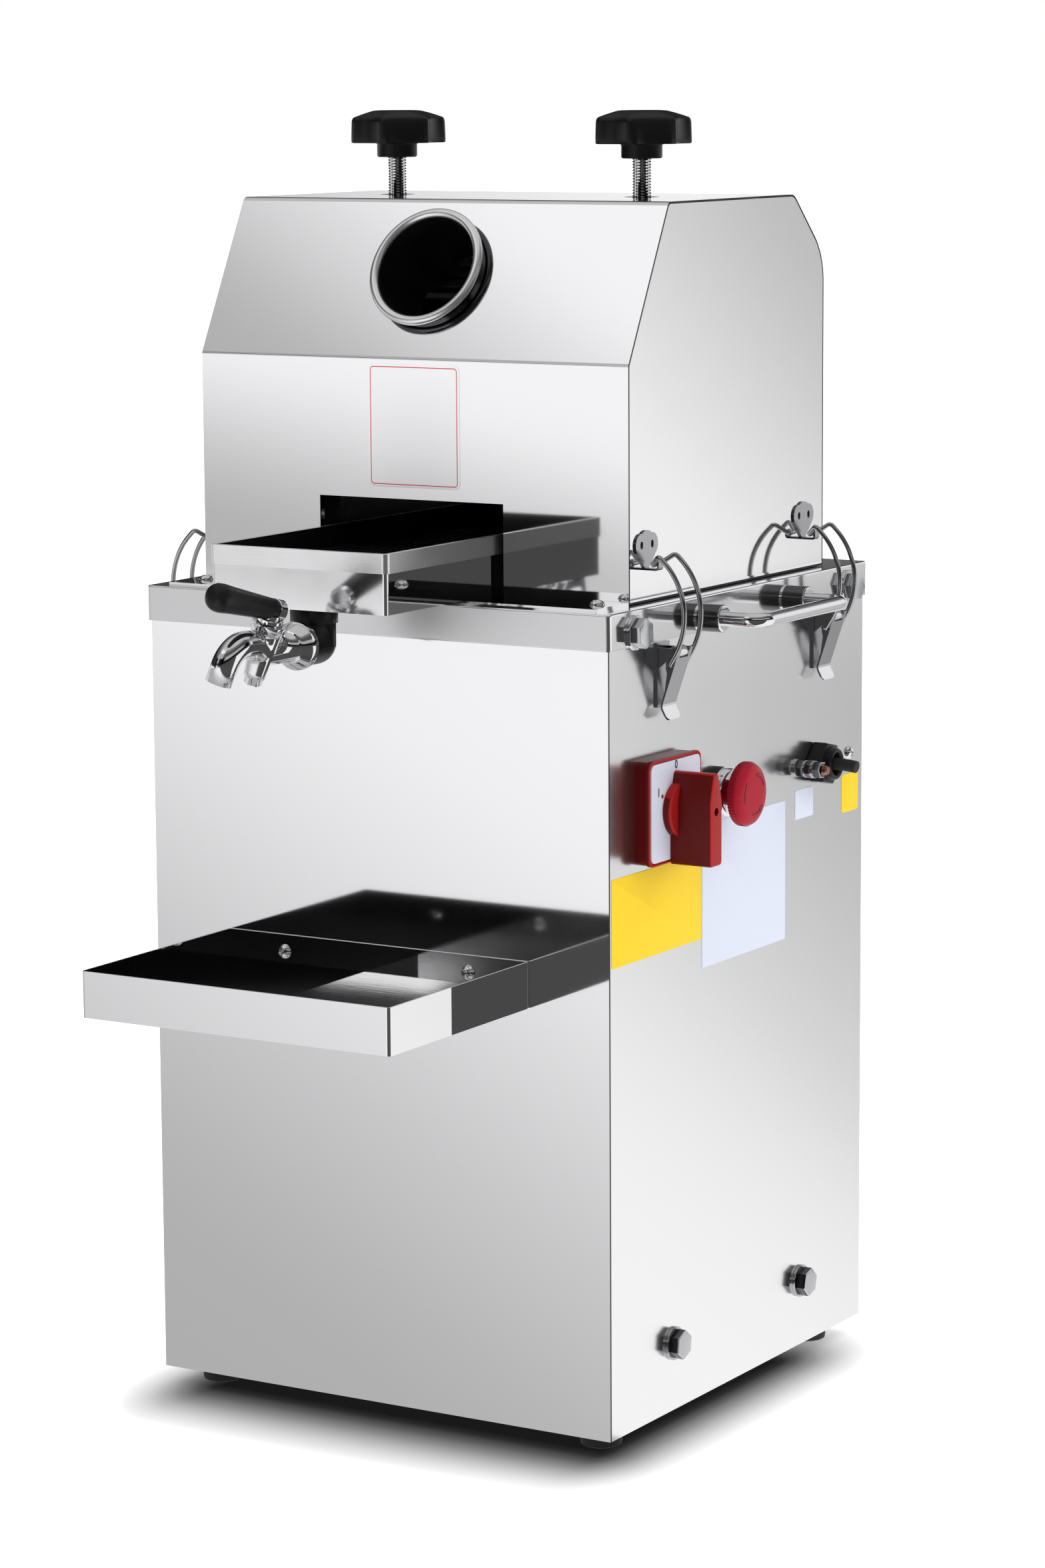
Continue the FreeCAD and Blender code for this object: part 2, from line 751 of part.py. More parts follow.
def make_bolts():
    """Hexagon bolts with plain washers on both sides, and the cross-recess screws."""
    solids = []
    for y, z, out in bolt_places():
        seat = half_width + out
        washer = rod((seat, y, z), (1, 0, 0), washer_radius, washer_sheet)
        solids.append(one(washer.cut(rod((seat - 1, y, z), (1, 0, 0), bolt_radius, washer_sheet + 2))))
        head = hexagon((seat + washer_sheet, y, z), (1, 0, 0), bolt_across, bolt_head)
        cap = cone((seat + washer_sheet, y, z), (1, 0, 0), bolt_across * 0.75, bolt_across * 0.46,
                   bolt_head + 0.001)
        shank = rod((seat + washer_sheet - bolt_length, y, z), (1, 0, 0), bolt_radius, bolt_length)
        solids.append(one(fused([head.common(cap), shank])))
    solids = on_both_sides(solids)
    front = -half_depth - cup_sheet
    for side in (-1, 1):
        solids.append(pan_screw((side * cup_screw_offset, front,
                                 foot_height + cup_base_height + cup_screw_rise()),
                                (0, -1, 0), 4.2, 2.0))
    solids.append(pan_screw((half_width, panel_screw_y, control_z), (1, 0, 0), 4.2, 2.0))
    for x, z in rear_screw_places():
        solids.append(pan_screw((x, half_depth, z), (0, 1, 0), 4.2, 2.0))
    for side in (-1, 1):
        solids.append(pan_screw((side * strip_screw_x(), strip_screw_y(), deck_top + strip_sheet),
                                (0, 0, 1), 4.2, 2.0))
    keep("fasteners", *solids)


def pan_screw(seat, out, head_radius, shank_radius):
    """A domed cross-recess screw with its head outwards and its shank through the sheets."""
    axis = Vector(*out)
    place = Vector(*seat)
    head = Part.makeCylinder(head_radius, 1.2, place, axis)
    dome = Part.makeCone(head_radius, head_radius * 0.55, 1.4, place + axis * 1.2, axis)
    shank = Part.makeCylinder(shank_radius, 6, place - axis * 6, axis)
    screw = fused([head, dome, shank])
    side = axis.cross(Vector(0, 0, 1) if abs(axis.z) < 0.9 else Vector(1, 0, 0))
    other = axis.cross(side)
    for a, b in ((side, other), (other, side)):
        corner = place + axis * 1.4 - a * 2.2 - b * 0.5
        face = Part.Face(Part.makePolygon([corner, corner + a * 4.4, corner + a * 4.4 + b * 1.0,
                                           corner + b * 1.0, corner]))
        screw = screw.cut(face.extrude(axis * 2))
    return one(screw)


def cup_screw_rise():
    return cup_height - 10.5


def strip_screw_x():
    return hood_half - 12


def strip_screw_y():
    return hood_front - 17


def make_strip():
    """The flat bar that locates the hood's front, and two runners as high as it under the juice tray."""
    y0 = hood_front - strip_width + hood_clearance
    y1 = hood_front - hood_clearance
    bar = block(-hood_half, hood_half, y0, y1, deck_top, deck_top + strip_sheet)
    for side in (-1, 1):
        bar = bar.cut(rod((side * strip_screw_x(), strip_screw_y(), deck_top - 1), (0, 0, 1), 2.0,
                          strip_sheet + 2))
    runners = []
    for side in (-1, 1):
        x = side * (tray_width / 2 - 14)
        runners.append(block(x - 6, x + 6, y1 + hood_sheet + 2, tray_front + tray_length - 10,
                             deck_top, deck_top + strip_sheet))
    keep("hood_strip", one(bar), *runners)


def make_side_handles():
    rods = []
    seat = half_width + skirt_out
    z = deck_top - handle_drop
    out = seat + handle_reach
    bar = round_bar([Vector(seat + 2, -handle_half_span, z), Vector(out, -handle_half_span, z),
                     Vector(out, handle_half_span, z), Vector(seat + 2, handle_half_span, z)],
                    [handle_bend_radius, handle_bend_radius], handle_rod_radius)
    rods.append(one(bar))
    for y in (-handle_half_span, handle_half_span):
        collar = rod((seat, y, z), (1, 0, 0), collar_bar_radius, collar_bar_length)
        edges = [e for e in collar.Edges if e.BoundBox.XMin > seat + 1 and e.BoundBox.XLength < 0.01]
        collar = collar.makeFillet(1.5, edges)
        collar = collar.cut(rod((seat + 2, y, z), (1, 0, 0), handle_rod_radius, collar_bar_length))
        rods.append(one(collar))
    keep("side_handles", *on_both_sides(rods))


def make_cup_tray():
    y1 = -half_depth
    y0 = y1 - cup_depth
    z0 = foot_height + cup_base_height
    tray = block(-cup_width / 2, cup_width / 2, y0, y1, z0, z0 + cup_height)
    corners = [e for e in tray.Edges if e.BoundBox.ZLength > cup_height / 2]
    tray = tray.makeFillet(2.5, corners)
    s = cup_sheet
    tray = tray.cut(block(s - cup_width / 2, cup_width / 2 - s, y0 + s, y1 - s, z0 + s,
                          z0 + cup_height + 1))
    for side in (-1, 1):
        tray = tray.cut(rod((side * cup_screw_offset, y1 - s - 1, z0 + cup_screw_rise()), (0, 1, 0), 2.0,
                            s + 2))
    keep("cup_tray", one(tray))


# ---- controls ----
def gland_thread_radius():
    return gland_across * 0.36


def make_switch():
    half = switch_size / 2
    frame = block(half_width, half_width + switch_stand, switch_y - half, switch_y + half,
                  control_z - half, control_z + half)
    frame = frame.makeFillet(switch_corner,
                             [e for e in frame.Edges if e.BoundBox.XLength > switch_stand / 2])
    frame = frame.makeFillet(1.5,
                             [e for e in frame.Edges if e.BoundBox.XMin > half_width + switch_stand - 1e-3])
    spindle = handle_disc_height + 1
    frame = frame.cut(rod((half_width - 1, switch_y, control_z), (1, 0, 0), 5.05, switch_stand + 2))
    keep("switch_frame", one(frame))
    face_x = half_width + switch_stand
    disc = rod((face_x + 0.3, switch_y, control_z), (1, 0, 0), handle_disc_radius, handle_disc_height)
    low = handle_width / 2
    tip = handle_tip_width / 2
    tip_z = control_z + handle_above
    foot_z = control_z - handle_below
    root = face_x + 0.3
    bar = prism([(root, switch_y - low, foot_z), (root, switch_y + low, foot_z),
                 (root, switch_y + low, tip_z - handle_taper), (root, switch_y + tip, tip_z),
                 (root, switch_y - tip, tip_z), (root, switch_y - low, tip_z - handle_taper)],
                (handle_height - 0.3, 0, 0))
    bar = bar.makeFillet(2.0, [e for e in bar.Edges if e.BoundBox.XLength > handle_height / 2])
    bar = bar.makeFillet(1.2, [e for e in bar.Edges if e.BoundBox.XMin > face_x + handle_height - 1e-3])
    shaft = rod((half_width - 4, switch_y, control_z), (1, 0, 0), 5.0, switch_stand + spindle)
    handle = fused([disc, bar, shaft])
    handle = handle.cut(rod((face_x + handle_height - 3, switch_y, control_z), (1, 0, 0), 2.4, 4))
    keep("switch_handle", one(handle))


def make_stop():
    x = half_width
    bezel = fused([rod((x, stop_y, control_z), (1, 0, 0), bezel_radius, 8),
                   cone((x + 8, stop_y, control_z), (1, 0, 0), bezel_radius, bezel_radius - 2.5,
                        bezel_stand - 8),
                   rod((x - 14, stop_y, control_z), (1, 0, 0), stop_bore, 14)])
    plunger_radius = 7.0
    bezel = bezel.cut(rod((x - 15, stop_y, control_z), (1, 0, 0), plunger_radius + running_clearance, 40))
    keep("stop_bezel", one(bezel))
    neck_x = x + bezel_stand + stop_travel + 0.4
    face = x + stop_face
    plunger = rod((x - 14, stop_y, control_z), (1, 0, 0), plunger_radius, neck_x - x + 14)
    keep("stop_plunger", plunger)
    rim = face - stop_rim
    grip = rod((rim, stop_y, control_z), (1, 0, 0), stop_radius, stop_rim)
    grip = grip.makeFillet(2.5, [e for e in grip.Edges if e.BoundBox.XMin > face - 1e-3])
    neck = cone((neck_x, stop_y, control_z), (1, 0, 0), bezel_radius - 3, stop_radius - 1, rim - neck_x)
    keep("stop_button", one(fused([grip, neck])))
    contact_depth = 42.0
    stop_contact_depth = 26.0
    switch_block = block(x - panel_sheet - 6 - contact_depth, x - panel_sheet - 6, switch_y - 22,
                         switch_y + 22,
                         control_z - 22, control_z + 22)
    switch_block = fused([switch_block,
                          rod((x - panel_sheet - 6, switch_y, control_z), (1, 0, 0), switch_bore, 6)])
    switch_block = switch_block.cut(rod((x - 4.5, switch_y, control_z), (1, 0, 0), 5.05, 10))
    stop_block = block(x - 14 - stop_contact_depth, x - 14 - stop_travel - 0.5, stop_y - 15, stop_y + 15,
                       control_z - 20, control_z + 20)
    holder = block(x - 14 - stop_travel - 0.5, x - panel_sheet, stop_y - 17, stop_y + 17, control_z - 17,
                   control_z + 17)
    holder = holder.cut(rod((x - 30, stop_y, control_z), (1, 0, 0), stop_bore, 40))
    keep("switch_contacts", one(switch_block), one(fused([stop_block, holder])))


def make_terminals():
    x = half_width
    stud = rod((x - 12, stud_y, control_z), (1, 0, 0), stud_radius, stud_length + 12)
    pieces = [stud]
    places = ((0.0, 1.5, 6.2, False), (1.5, 5.0, 10.0, True), (6.5, 1.5, 6.2, False),
              (8.0, 1.5, 6.2, False),
              (9.5, 5.0, 10.0, True))
    for start, length, size, nut in places:
        if nut:
            piece = hexagon((x + start, stud_y, control_z), (1, 0, 0), size, length)
        else:
            piece = rod((x + start, stud_y, control_z), (1, 0, 0), size, length)
        pieces.append(one(piece.cut(rod((x - 1, stud_y, control_z), (1, 0, 0), stud_radius, stud_length))))
    inner_nut = hexagon((x - panel_sheet - 5, stud_y, control_z), (1, 0, 0), 10.0, 5.0)
    pieces.append(one(inner_nut.cut(rod((x - 20, stud_y, control_z), (1, 0, 0), stud_radius, 30))))
    keep("earth_stud", *pieces)
    thread = gland_thread_radius()
    gland = fused([hexagon((x, gland_y, control_z), (1, 0, 0), gland_across, gland_hex_length),
                   rod((x + gland_hex_length, gland_y, control_z), (1, 0, 0), gland_cap_radius,
                       gland_cap_length),
                   rod((x - 12, gland_y, control_z), (1, 0, 0), thread, 13)])
    gland = gland.cut(rod((x - 20, gland_y, control_z), (1, 0, 0), cable_radius, 60))
    locknut = hexagon((x - panel_sheet - 6, gland_y, control_z), (1, 0, 0), gland_across, 6)
    locknut = locknut.cut(rod((x - 20, gland_y, control_z), (1, 0, 0), thread, 30))
    keep("cable_gland", one(gland), one(locknut))
    mouth = gland_hex_length + gland_cap_length
    keep("supply_cable", rod((x - cable_inside, gland_y, control_z), (1, 0, 0), cable_radius,
                             cable_inside + mouth + cable_outside))


# ---- drive ----
def make_drive():
    x1 = head_half
    x0 = x1 - gearbox_width
    z1 = deck_under - angle_sheet - seat_sheet
    z0 = output_axis - gearbox_height / 2
    y0 = rear_axis_y - gearbox_depth / 2
    case = block(x0, x1, y0, y0 + gearbox_depth, z0, z1)
    case = case.makeFillet(10.0, [e for e in case.Edges if e.BoundBox.XLength > gearbox_width / 2])
    case = fused([case, rod((x0 - 3, rear_axis_y, output_axis), (1, 0, 0), 30, gearbox_width + 6)])
    case = case.cut(rod((x0 + 2, rear_axis_y, output_axis), (1, 0, 0), output_radius + running_clearance,
                        gearbox_width + 20))
    keep("gearbox", one(case))
    motor_x = (x0 + x1) / 2
    motor_y = rear_axis_y - worm_offset
    flange = rod((motor_x, motor_y, z0 - motor_flange_sheet), (0, 0, 1), motor_flange_radius,
                 motor_flange_sheet)
    body_top = z0 - motor_flange_sheet
    shell = rod((motor_x, motor_y, body_top - motor_length), (0, 0, 1), motor_radius - fin_height,
                motor_length)
    shield = rod((motor_x, motor_y, body_top - motor_length), (0, 0, 1), motor_radius - fan_cover_sheet, 10)
    fins = []
    for i in range(fin_count):
        angle = 360 * i / fin_count
        fin = block(motor_radius - fin_height - 2, motor_radius, -1.5, 1.5, body_top - motor_length + 14,
                    body_top - 8)
        fin.rotate(Vector(0, 0, 0), Vector(0, 0, 1), angle)
        fin.translate(Vector(motor_x, motor_y, 0))
        fins.append(fin)
    terminal_box = block(motor_x - 35, motor_x + 35, motor_y - motor_radius - 28,
                         motor_y - motor_radius + fin_height + 3,
                         body_top - 100, body_top - 25)
    body = one(fused([flange, shell, shield, terminal_box] + fins))
    cover_top = body_top - motor_length + 10
    cover = rod((motor_x, motor_y, cover_top - fan_cover_length), (0, 0, 1), motor_radius, fan_cover_length)
    cover = cover.makeFillet(4.0,
                             [e for e in cover.Edges
                              if e.BoundBox.ZMax < cover_top - fan_cover_length + 1e-3])
    cover = cover.cut(rod((motor_x, motor_y, cover_top - fan_cover_length + fan_cover_sheet), (0, 0, 1),
                          motor_radius - fan_cover_sheet, fan_cover_length))
    for i in range(12):
        slot = block(18, motor_radius - 16, -2, 2, cover_top - fan_cover_length - 1,
                     cover_top - fan_cover_length + 3)
        slot.rotate(Vector(0, 0, 0), Vector(0, 0, 1), 30 * i)
        slot.translate(Vector(motor_x, motor_y, 0))
        cover = cover.cut(slot)
    keep("motor", body, one(cover))


# ---- juice tray and tap ----
def make_juice_tray():
    half = tray_width / 2
    s = tray_sheet
    y1 = tray_front + tray_length
    tray = block(-half, half, tray_front, y1, tray_floor, tray_rim)
    tray = tray.makeFillet(2.5, [e for e in tray.Edges if e.BoundBox.ZLength > tray_height / 2])
    tray = tray.cut(block(s - half, half - s, tray_front + s, y1 - s, tray_floor + s, tray_rim + 1))
    tray = tray.cut(rod((0, elbow_y(), tray_floor - 1), (0, 0, 1), outlet_radius, s + 2))
    keep("juice_tray", one(tray))
    b = band_sheet
    g = tray_gap
    low = tray_rim - band_height
    rim = tray_rim + g + b
    band = block(-half - g - b, half + g + b, tray_front - g - b, y1 + g + b, low, rim)
    band = band.makeFillet(2.5 + g + b, [e for e in band.Edges if e.BoundBox.ZLength > band_height / 2])
    tray_room = block(-half - g, half + g, tray_front - g, y1 + g, low - 1, tray_rim + g)
    tray_room = tray_room.makeFillet(2.5 + g,
                                     [e for e in tray_room.Edges if e.BoundBox.ZLength > band_height / 2])
    band = band.cut(tray_room)
    wall_out = half - s - g
    wall_y0 = tray_front + s + g
    wall_y1 = y1 - s - g
    basket = block(-wall_out, wall_out, wall_y0, wall_y1, rim - strainer_depth, rim)
    band = band.cut(block(-wall_out, wall_out, wall_y0, wall_y1, low, rim + 1))
    basket = basket.cut(block(b - wall_out, wall_out - b, wall_y0 + b, wall_y1 - b,
                              rim - strainer_depth + b, rim + 1))
    strainer = fused([band, basket])
    slots = []
    columns = int((2 * wall_out - 16) // (slot_width * 3))
    rows = int((wall_y1 - wall_y0 - 10) // (slot_length + 6))
    for column in range(columns):
        x = (column - (columns - 1) / 2) * slot_width * 3
        for row in range(rows):
            y = (wall_y0 + wall_y1) / 2 + (row - (rows - 1) / 2) * (slot_length + 6)
            slots.append(block(x - slot_width / 2, x + slot_width / 2, y - slot_length / 2,
                               y + slot_length / 2,
                               rim - strainer_depth - 1, rim - strainer_depth + b + 1))
    keep("strainer", one(strainer.cut(Part.makeCompound(slots))))


def elbow_y():
    return tray_front + elbow_from_front


def tap_local(forward, up, side=0.0):
    """A point given from the tap barrel's centre: forward, up along the rolled plug axis, to its right."""
    roll = math.radians(tap_roll)
    return Vector(up * math.sin(roll) + side * math.cos(roll), elbow_y() - tap_reach - forward,
                  tap_axis() + up * math.cos(roll) - side * math.sin(roll))


def tap_axis():
    return tray_floor - elbow_drop


def make_outlet():
    y = elbow_y()
    z = tap_axis()
    flange_back = y - elbow_radius - 4
    elbow = fused([rod((0, y, tray_floor - elbow_collar_height), (0, 0, 1), elbow_collar_radius,
                       elbow_collar_height),
                   rod((0, y, z), (0, 0, 1), elbow_radius, elbow_drop),
                   Part.makeSphere(elbow_radius, Vector(0, y, z)),
                   rod((0, flange_back, z), (0, 1, 0), elbow_radius, y - flange_back),
                   block(-1.5, 1.5, y - elbow_radius - 3, y, z, tray_floor - elbow_collar_height),
                   block(-elbow_radius - 1.2, elbow_radius + 1.2, y - 2, y + 2, z - 2,
                         tray_floor - elbow_collar_height),
                   rod((0, y, tray_floor - 0.001), (0, 0, 1), outlet_radius, tray_sheet + 2)])
    nut = rod((0, y, tray_floor + tray_sheet), (0, 0, 1), outlet_radius + 6, 3)
    elbow = fused([elbow, nut])
    bore = fused([rod((0, y, z), (0, 0, 1), spout_bore_radius, elbow_drop + 10),
                  rod((0, flange_back - 1, z), (0, 1, 0), spout_bore_radius, y - flange_back + 1)])
    keep("outlet_elbow", one(elbow.cut(bore)))
    plug = (tap_local(0, 1) - tap_local(0, 0)).normalize()
    centre = tap_local(0, 0)
    pipe_start = flange_back
    pipe = rod((0, pipe_start, z), (0, -1, 0), neck_radius, pipe_start - centre.y)
    flange = fused([rod((0, pipe_start, z), (0, -1, 0), flange_radius, flange_width * 0.45),
                    cone((0, pipe_start - flange_width * 0.45, z), (0, -1, 0), flange_radius,
                         neck_radius + 1,
                         flange_width)])
    barrel = Part.makeCone(barrel_low_radius, barrel_top_radius, 2 * barrel_half,
                           centre - plug * barrel_half, plug)
    spout_path = [tap_local(0, 2), tap_local(15, 7.5), tap_local(34, 8), tap_local(37, -14.5)]
    spout = round_bar(spout_path, [14.0, 13.5], spout_radius)
    bonnet_radius = barrel_top_radius + 0.6
    bonnet_height = 4.0
    bonnet = Part.makeCylinder(bonnet_radius, bonnet_height, tap_local(0, barrel_half), plug)
    end_nut = hexagon(tuple(tap_local(0, -barrel_half - 4.5)), tuple(plug), 9.5, 5.0)
    body = fused([pipe, flange, barrel, spout, bonnet, end_nut])
    spout_bore = round_bar(spout_path, [14.0, 13.5], spout_bore_radius)
    inlet = rod((0, pipe_start + 1, z), (0, -1, 0), spout_bore_radius, pipe_start + 1 - centre.y)
    plug_radius = 6.2
    seat = Part.makeCylinder(plug_radius, 2 * barrel_half + 20, tap_local(0, -barrel_half + 8), plug)
    body = body.cut(spout_bore).cut(inlet).cut(seat)
    keep("tap_body", one(body))
    stem_top = 25.8
    stem = Part.makeCylinder(plug_radius - running_clearance, stem_top - 1 + barrel_half - 9,
                             tap_local(0, -barrel_half + 9), plug)
    passage = Part.makeCylinder(4.0, 40, tap_local(-20, 1), tap_local(20, 1) - tap_local(-20, 1))
    rise = math.radians(lever_rise)
    swing = math.radians(lever_swing)
    ahead = tap_local(math.cos(rise) * math.cos(swing), math.sin(rise), -math.cos(rise) * math.sin(swing))
    along = (ahead - centre).normalize()
    back_end = tap_local(-7.4, stem_top)
    ferrule = Part.makeCylinder(lever_thin_radius + 0.4, 6.0, back_end, along)
    collar = Part.makeCylinder(plug_radius + 1.5, 3.0, tap_local(0, barrel_half + bonnet_height + 0.3),
                               plug)
    metal = fused([stem.cut(passage), ferrule, collar])
    grip = Part.makeCone(lever_thin_radius, lever_thick_radius, lever_length - 6, back_end + along * 6,
                         along)
    end = Part.makeCylinder(lever_thick_radius, 5, back_end + along * (lever_length - 6), along)
    grip = fused([grip, end]).cut(metal)
    keep("tap_lever", one(metal), one(grip))


# ---- hood ----
def hood_outline():
    return [(hood_front, hood_floor), (hood_front, deck_top + hood_bend_height),
            (hood_front + slope_run, hood_top), (top_back, hood_top),
            (hood_back, deck_top + back_shoulder), (hood_back, hood_floor)]


def feed_centre():
    """Centre of the feed hole on the slope's outer face, and the outward direction."""
    low = hood_outline()[1]
    high = hood_outline()[2]
    length = math.hypot(high[0] - low[0], high[1] - low[1])
    along = ((high[0] - low[0]) / length, (high[1] - low[1]) / length)
    up_slope = length * feed_slope_share
    centre = Vector(0, low[0] + along[0] * up_slope, low[1] + along[1] * up_slope)
    return centre, Vector(0, -along[1], along[0])


def make_hood():
    radii = [fold_radius, fold_radius, fold_radius * 2, shoulder_radius]
    wrap = bent_sheet(hood_outline(), radii, -hood_sheet, "yz", -hood_half, hood_half)
    mouth = juice_mouth_width / 2
    wrap = wrap.cut(block(-mouth, mouth, hood_front - 5, hood_front + 5, hood_floor - 1,
                          deck_top + juice_mouth_height))
    centre, out = feed_centre()
    wrap = wrap.cut(Part.makeCylinder(feed_bore_radius + feed_wall, 40, centre - out * 20, out))
    for side in (-1, 1):
        wrap = wrap.cut(rod((side * head_half, head_centre_y, hood_top - 5), (0, 0, 1), stud_hole_radius,
                            10))
    outlet_low, outlet_high, outlet_half = outlet_window()
    wrap = wrap.cut(block(-outlet_half, outlet_half, hood_back - 5, hood_back + 5, outlet_low, outlet_high))
    slope_low = hood_floor + hood_bend_height - fold_radius - 4
    top_front = hood_front + slope_run + fold_radius + 1
    top_rear = top_back - shoulder_radius + 11
    far = 400.0
    below = block(-far, far, -far, far, 0, slope_low)
    ahead = block(-far, far, -far, top_front, slope_low, hood_top + far)
    behind = block(-far, far, top_rear, far, 0, hood_top + far)
    over = block(-far, far, top_front, top_rear, slope_low, hood_top + far)
    keep("hood_front", one(wrap.common(below.cut(behind))))
    keep("hood_slope", one(wrap.common(ahead)))
    keep("hood_top", one(wrap.common(over)))
    keep("hood_back", one(wrap.common(behind)))
    inner = offset_outline(hood_outline(), -hood_sheet - hood_side_gap)
    inner_radii = [r - hood_sheet - hood_side_gap for r in radii]
    edges = rounded_run([Vector(hood_half - hood_sheet, y, z) for y, z in inner], inner_radii)
    first = Vector(hood_half - hood_sheet, inner[0][0], inner[0][1])
    last = Vector(hood_half - hood_sheet, inner[-1][0], inner[-1][1])
    edges.append(Part.LineSegment(last, first).toShape())
    side_plate = Part.Face(Part.Wire(edges)).extrude(Vector(hood_sheet, 0, 0))
    keep("hood_sides", mirrored(side_plate), side_plate)
    bead_at = feed_stand
    wall_out = feed_bore_radius + feed_wall
    bead_mid = feed_bore_radius + feed_bead_radius
    foot = math.sqrt(feed_bead_radius ** 2 - (bead_mid - wall_out) ** 2)
    slant = feed_bead_radius * math.sqrt(0.5)

    def at(radius, height):
        return Vector(radius, 0, height)
    profile = [Part.LineSegment(at(feed_bore_radius, -feed_depth), at(feed_bore_radius, bead_at)).toShape(),
               Part.Arc(at(feed_bore_radius, bead_at), at(bead_mid, bead_at + feed_bead_radius),
                        at(bead_mid + feed_bead_radius, bead_at)).toShape(),
               Part.Arc(at(bead_mid + feed_bead_radius, bead_at), at(bead_mid + slant, bead_at - slant),
                        at(wall_out, bead_at - foot)).toShape(),
               Part.LineSegment(at(wall_out, bead_at - foot), at(wall_out, -feed_depth)).toShape(),
               Part.LineSegment(at(wall_out, -feed_depth), at(feed_bore_radius, -feed_depth)).toShape()]
    tube = Part.Face(Part.Wire(profile)).revolve(Vector(0, 0, 0), Vector(0, 0, 1), 360)
    tube.Placement = FreeCAD.Placement(centre, FreeCAD.Rotation(Vector(0, 0, 1), out))
    keep("feed_tube", one(tube))


def outlet_window():
    """Low and high edge and half width of the hood's back window, where the pressed cane leaves."""
    return lower_axis - 34, lower_axis + 34, roller_length / 2 + 8


def make_chute():
    """A sheet trough from behind the rear roller out through the window in the hood's back wall."""
    low, high, half = outlet_window()
    start_y = rear_axis_y + roller_radius + 4
    floor_back = low + 6
    fall = [(start_y, lower_axis - 8), (hood_back - 8, floor_back), (hood_back + 14, floor_back - 6)]
    clear = 2.0
    floor = bent_sheet(fall, [8.0], -hood_sheet, "yz", -half + clear, half - clear)
    pieces = [floor]
    for side in (-1, 1):
        x = side * (half - clear) - (hood_sheet if side > 0 else 0)
        pieces.append(prism([(x, start_y, lower_axis - 8 - hood_sheet),
                             (x, hood_back - 8, floor_back - hood_sheet),
                             (x, hood_back + 14, floor_back - 6 - hood_sheet),
                             (x, hood_back + 14, floor_back + 14),
                             (x, hood_back - 8, high - 20), (x, start_y, lower_axis + 10)],
                             (hood_sheet, 0, 0)))
    flange = block(-half - 8, half + 8, hood_back, hood_back + hood_sheet, low - 8, high + 8)
    flange = flange.cut(block(-half + clear, half - clear, hood_back - 1, hood_back + 3, low - 20,
                              high + 20).common(
        block(-half + clear, half - clear, hood_back - 1, hood_back + 3, floor_back - 8, high)))
    pieces.append(flange)
    keep("bagasse_chute", one(fused(pieces)))


# ---- pressure screws ----
def knob(x):
    """Lobed hand knob: a tapered, domed head with shallow valleys, on a round hub."""
    z0 = hood_top + knob_stand
    y = head_centre_y
    hub = rod((x, y, z0), (0, 0, 1), knob_hub_radius, knob_hub_height + 2)
    head_z = z0 + knob_hub_height
    side_height = knob_height - 5.0
    head = fused([cone((x, y, head_z), (0, 0, 1), knob_radius, knob_radius - 1.5, side_height),
                  cone((x, y, head_z + side_height), (0, 0, 1), knob_radius - 1.5, knob_radius * 0.55,
                       5.0)])
    for i in range(knob_lobes):
        angle = 2 * math.pi * (i + 0.5) / knob_lobes
        reach = knob_radius + 20
        head = head.cut(rod((x + reach * math.cos(angle), y + reach * math.sin(angle), head_z - 1),
                            (0, 0, 1),
                            24.5, knob_height + 2))
    whole = fused([hub, head])
    return one(whole.cut(rod((x, y, z0 - 1), (0, 0, 1), screw_radius, 17)))


def make_screws():
    pad_z = top_axis + block_height / 2
    knob_z = hood_top + knob_stand
    for side, name in ((-1, "left"), (1, "right")):
        x = side * head_half
        y = head_centre_y
        pad = rod((x, y, pad_z), (0, 0, 1), pad_radius, pad_height)
        pad = pad.cut(rod((x, y, pad_z + pad_height - pad_recess), (0, 0, 1),
                          screw_radius + screw_clearance,
                          pad_recess + 1))
        keep("screw_pad_" + name, one(pad))
        bottom = pad_z + pad_height - pad_recess
        keep("pressure_screw_" + name, rod((x, y, bottom), (0, 0, 1), screw_radius, knob_z + 16 - bottom))
        keep("star_knob_" + name, knob(x))


# ---- latches ----
def latch_points(y):
    """Key places of the right-hand latch at this y, in the X-Z plane."""
    return {"pivot": (half_width + pivot_out, deck_top - pivot_drop),
            "pin": (half_width + pivot_out - wire_pin_in, deck_top - pivot_drop - wire_pin_drop),
            "hook": (hood_half + wire_hook_out, deck_top + wire_hook_height),
            "shoulder": (hood_half + wire_shoulder_out, deck_top + wire_shoulder_height),
            "bulge": (hood_half + wire_bulge_out, deck_top + wire_bulge_height)}


def latch_base(y):
    at = latch_points(y)
    px, pz = at["pivot"]
    plate_top = deck_top - skirt_height - 1
    plate = block(half_width, half_width + 1.5, y - 7.5, y + 7.5, pz - 34, plate_top)
    ears = []
    for side in (-1, 1):
        y0 = y + side * ear_half_span if side > 0 else y - ear_half_span - lever_sheet
        ear = prism([(half_width, y0, pz - 12), (px, y0, pz - ear_radius), (px, y0, pz + ear_radius),
                     (half_width, y0, pz + ear_radius)], (0, lever_sheet, 0))
        ears.append(rod((px, y0, pz), (0, 1, 0), ear_radius, lever_sheet))
        ears.append(ear)
    pin = rod((px, y - lever_half_width - 0.2, pz), (0, 1, 0), wire_radius, 2 * lever_half_width + 0.4)
    return one(fused([plate] + ears + [pin]))


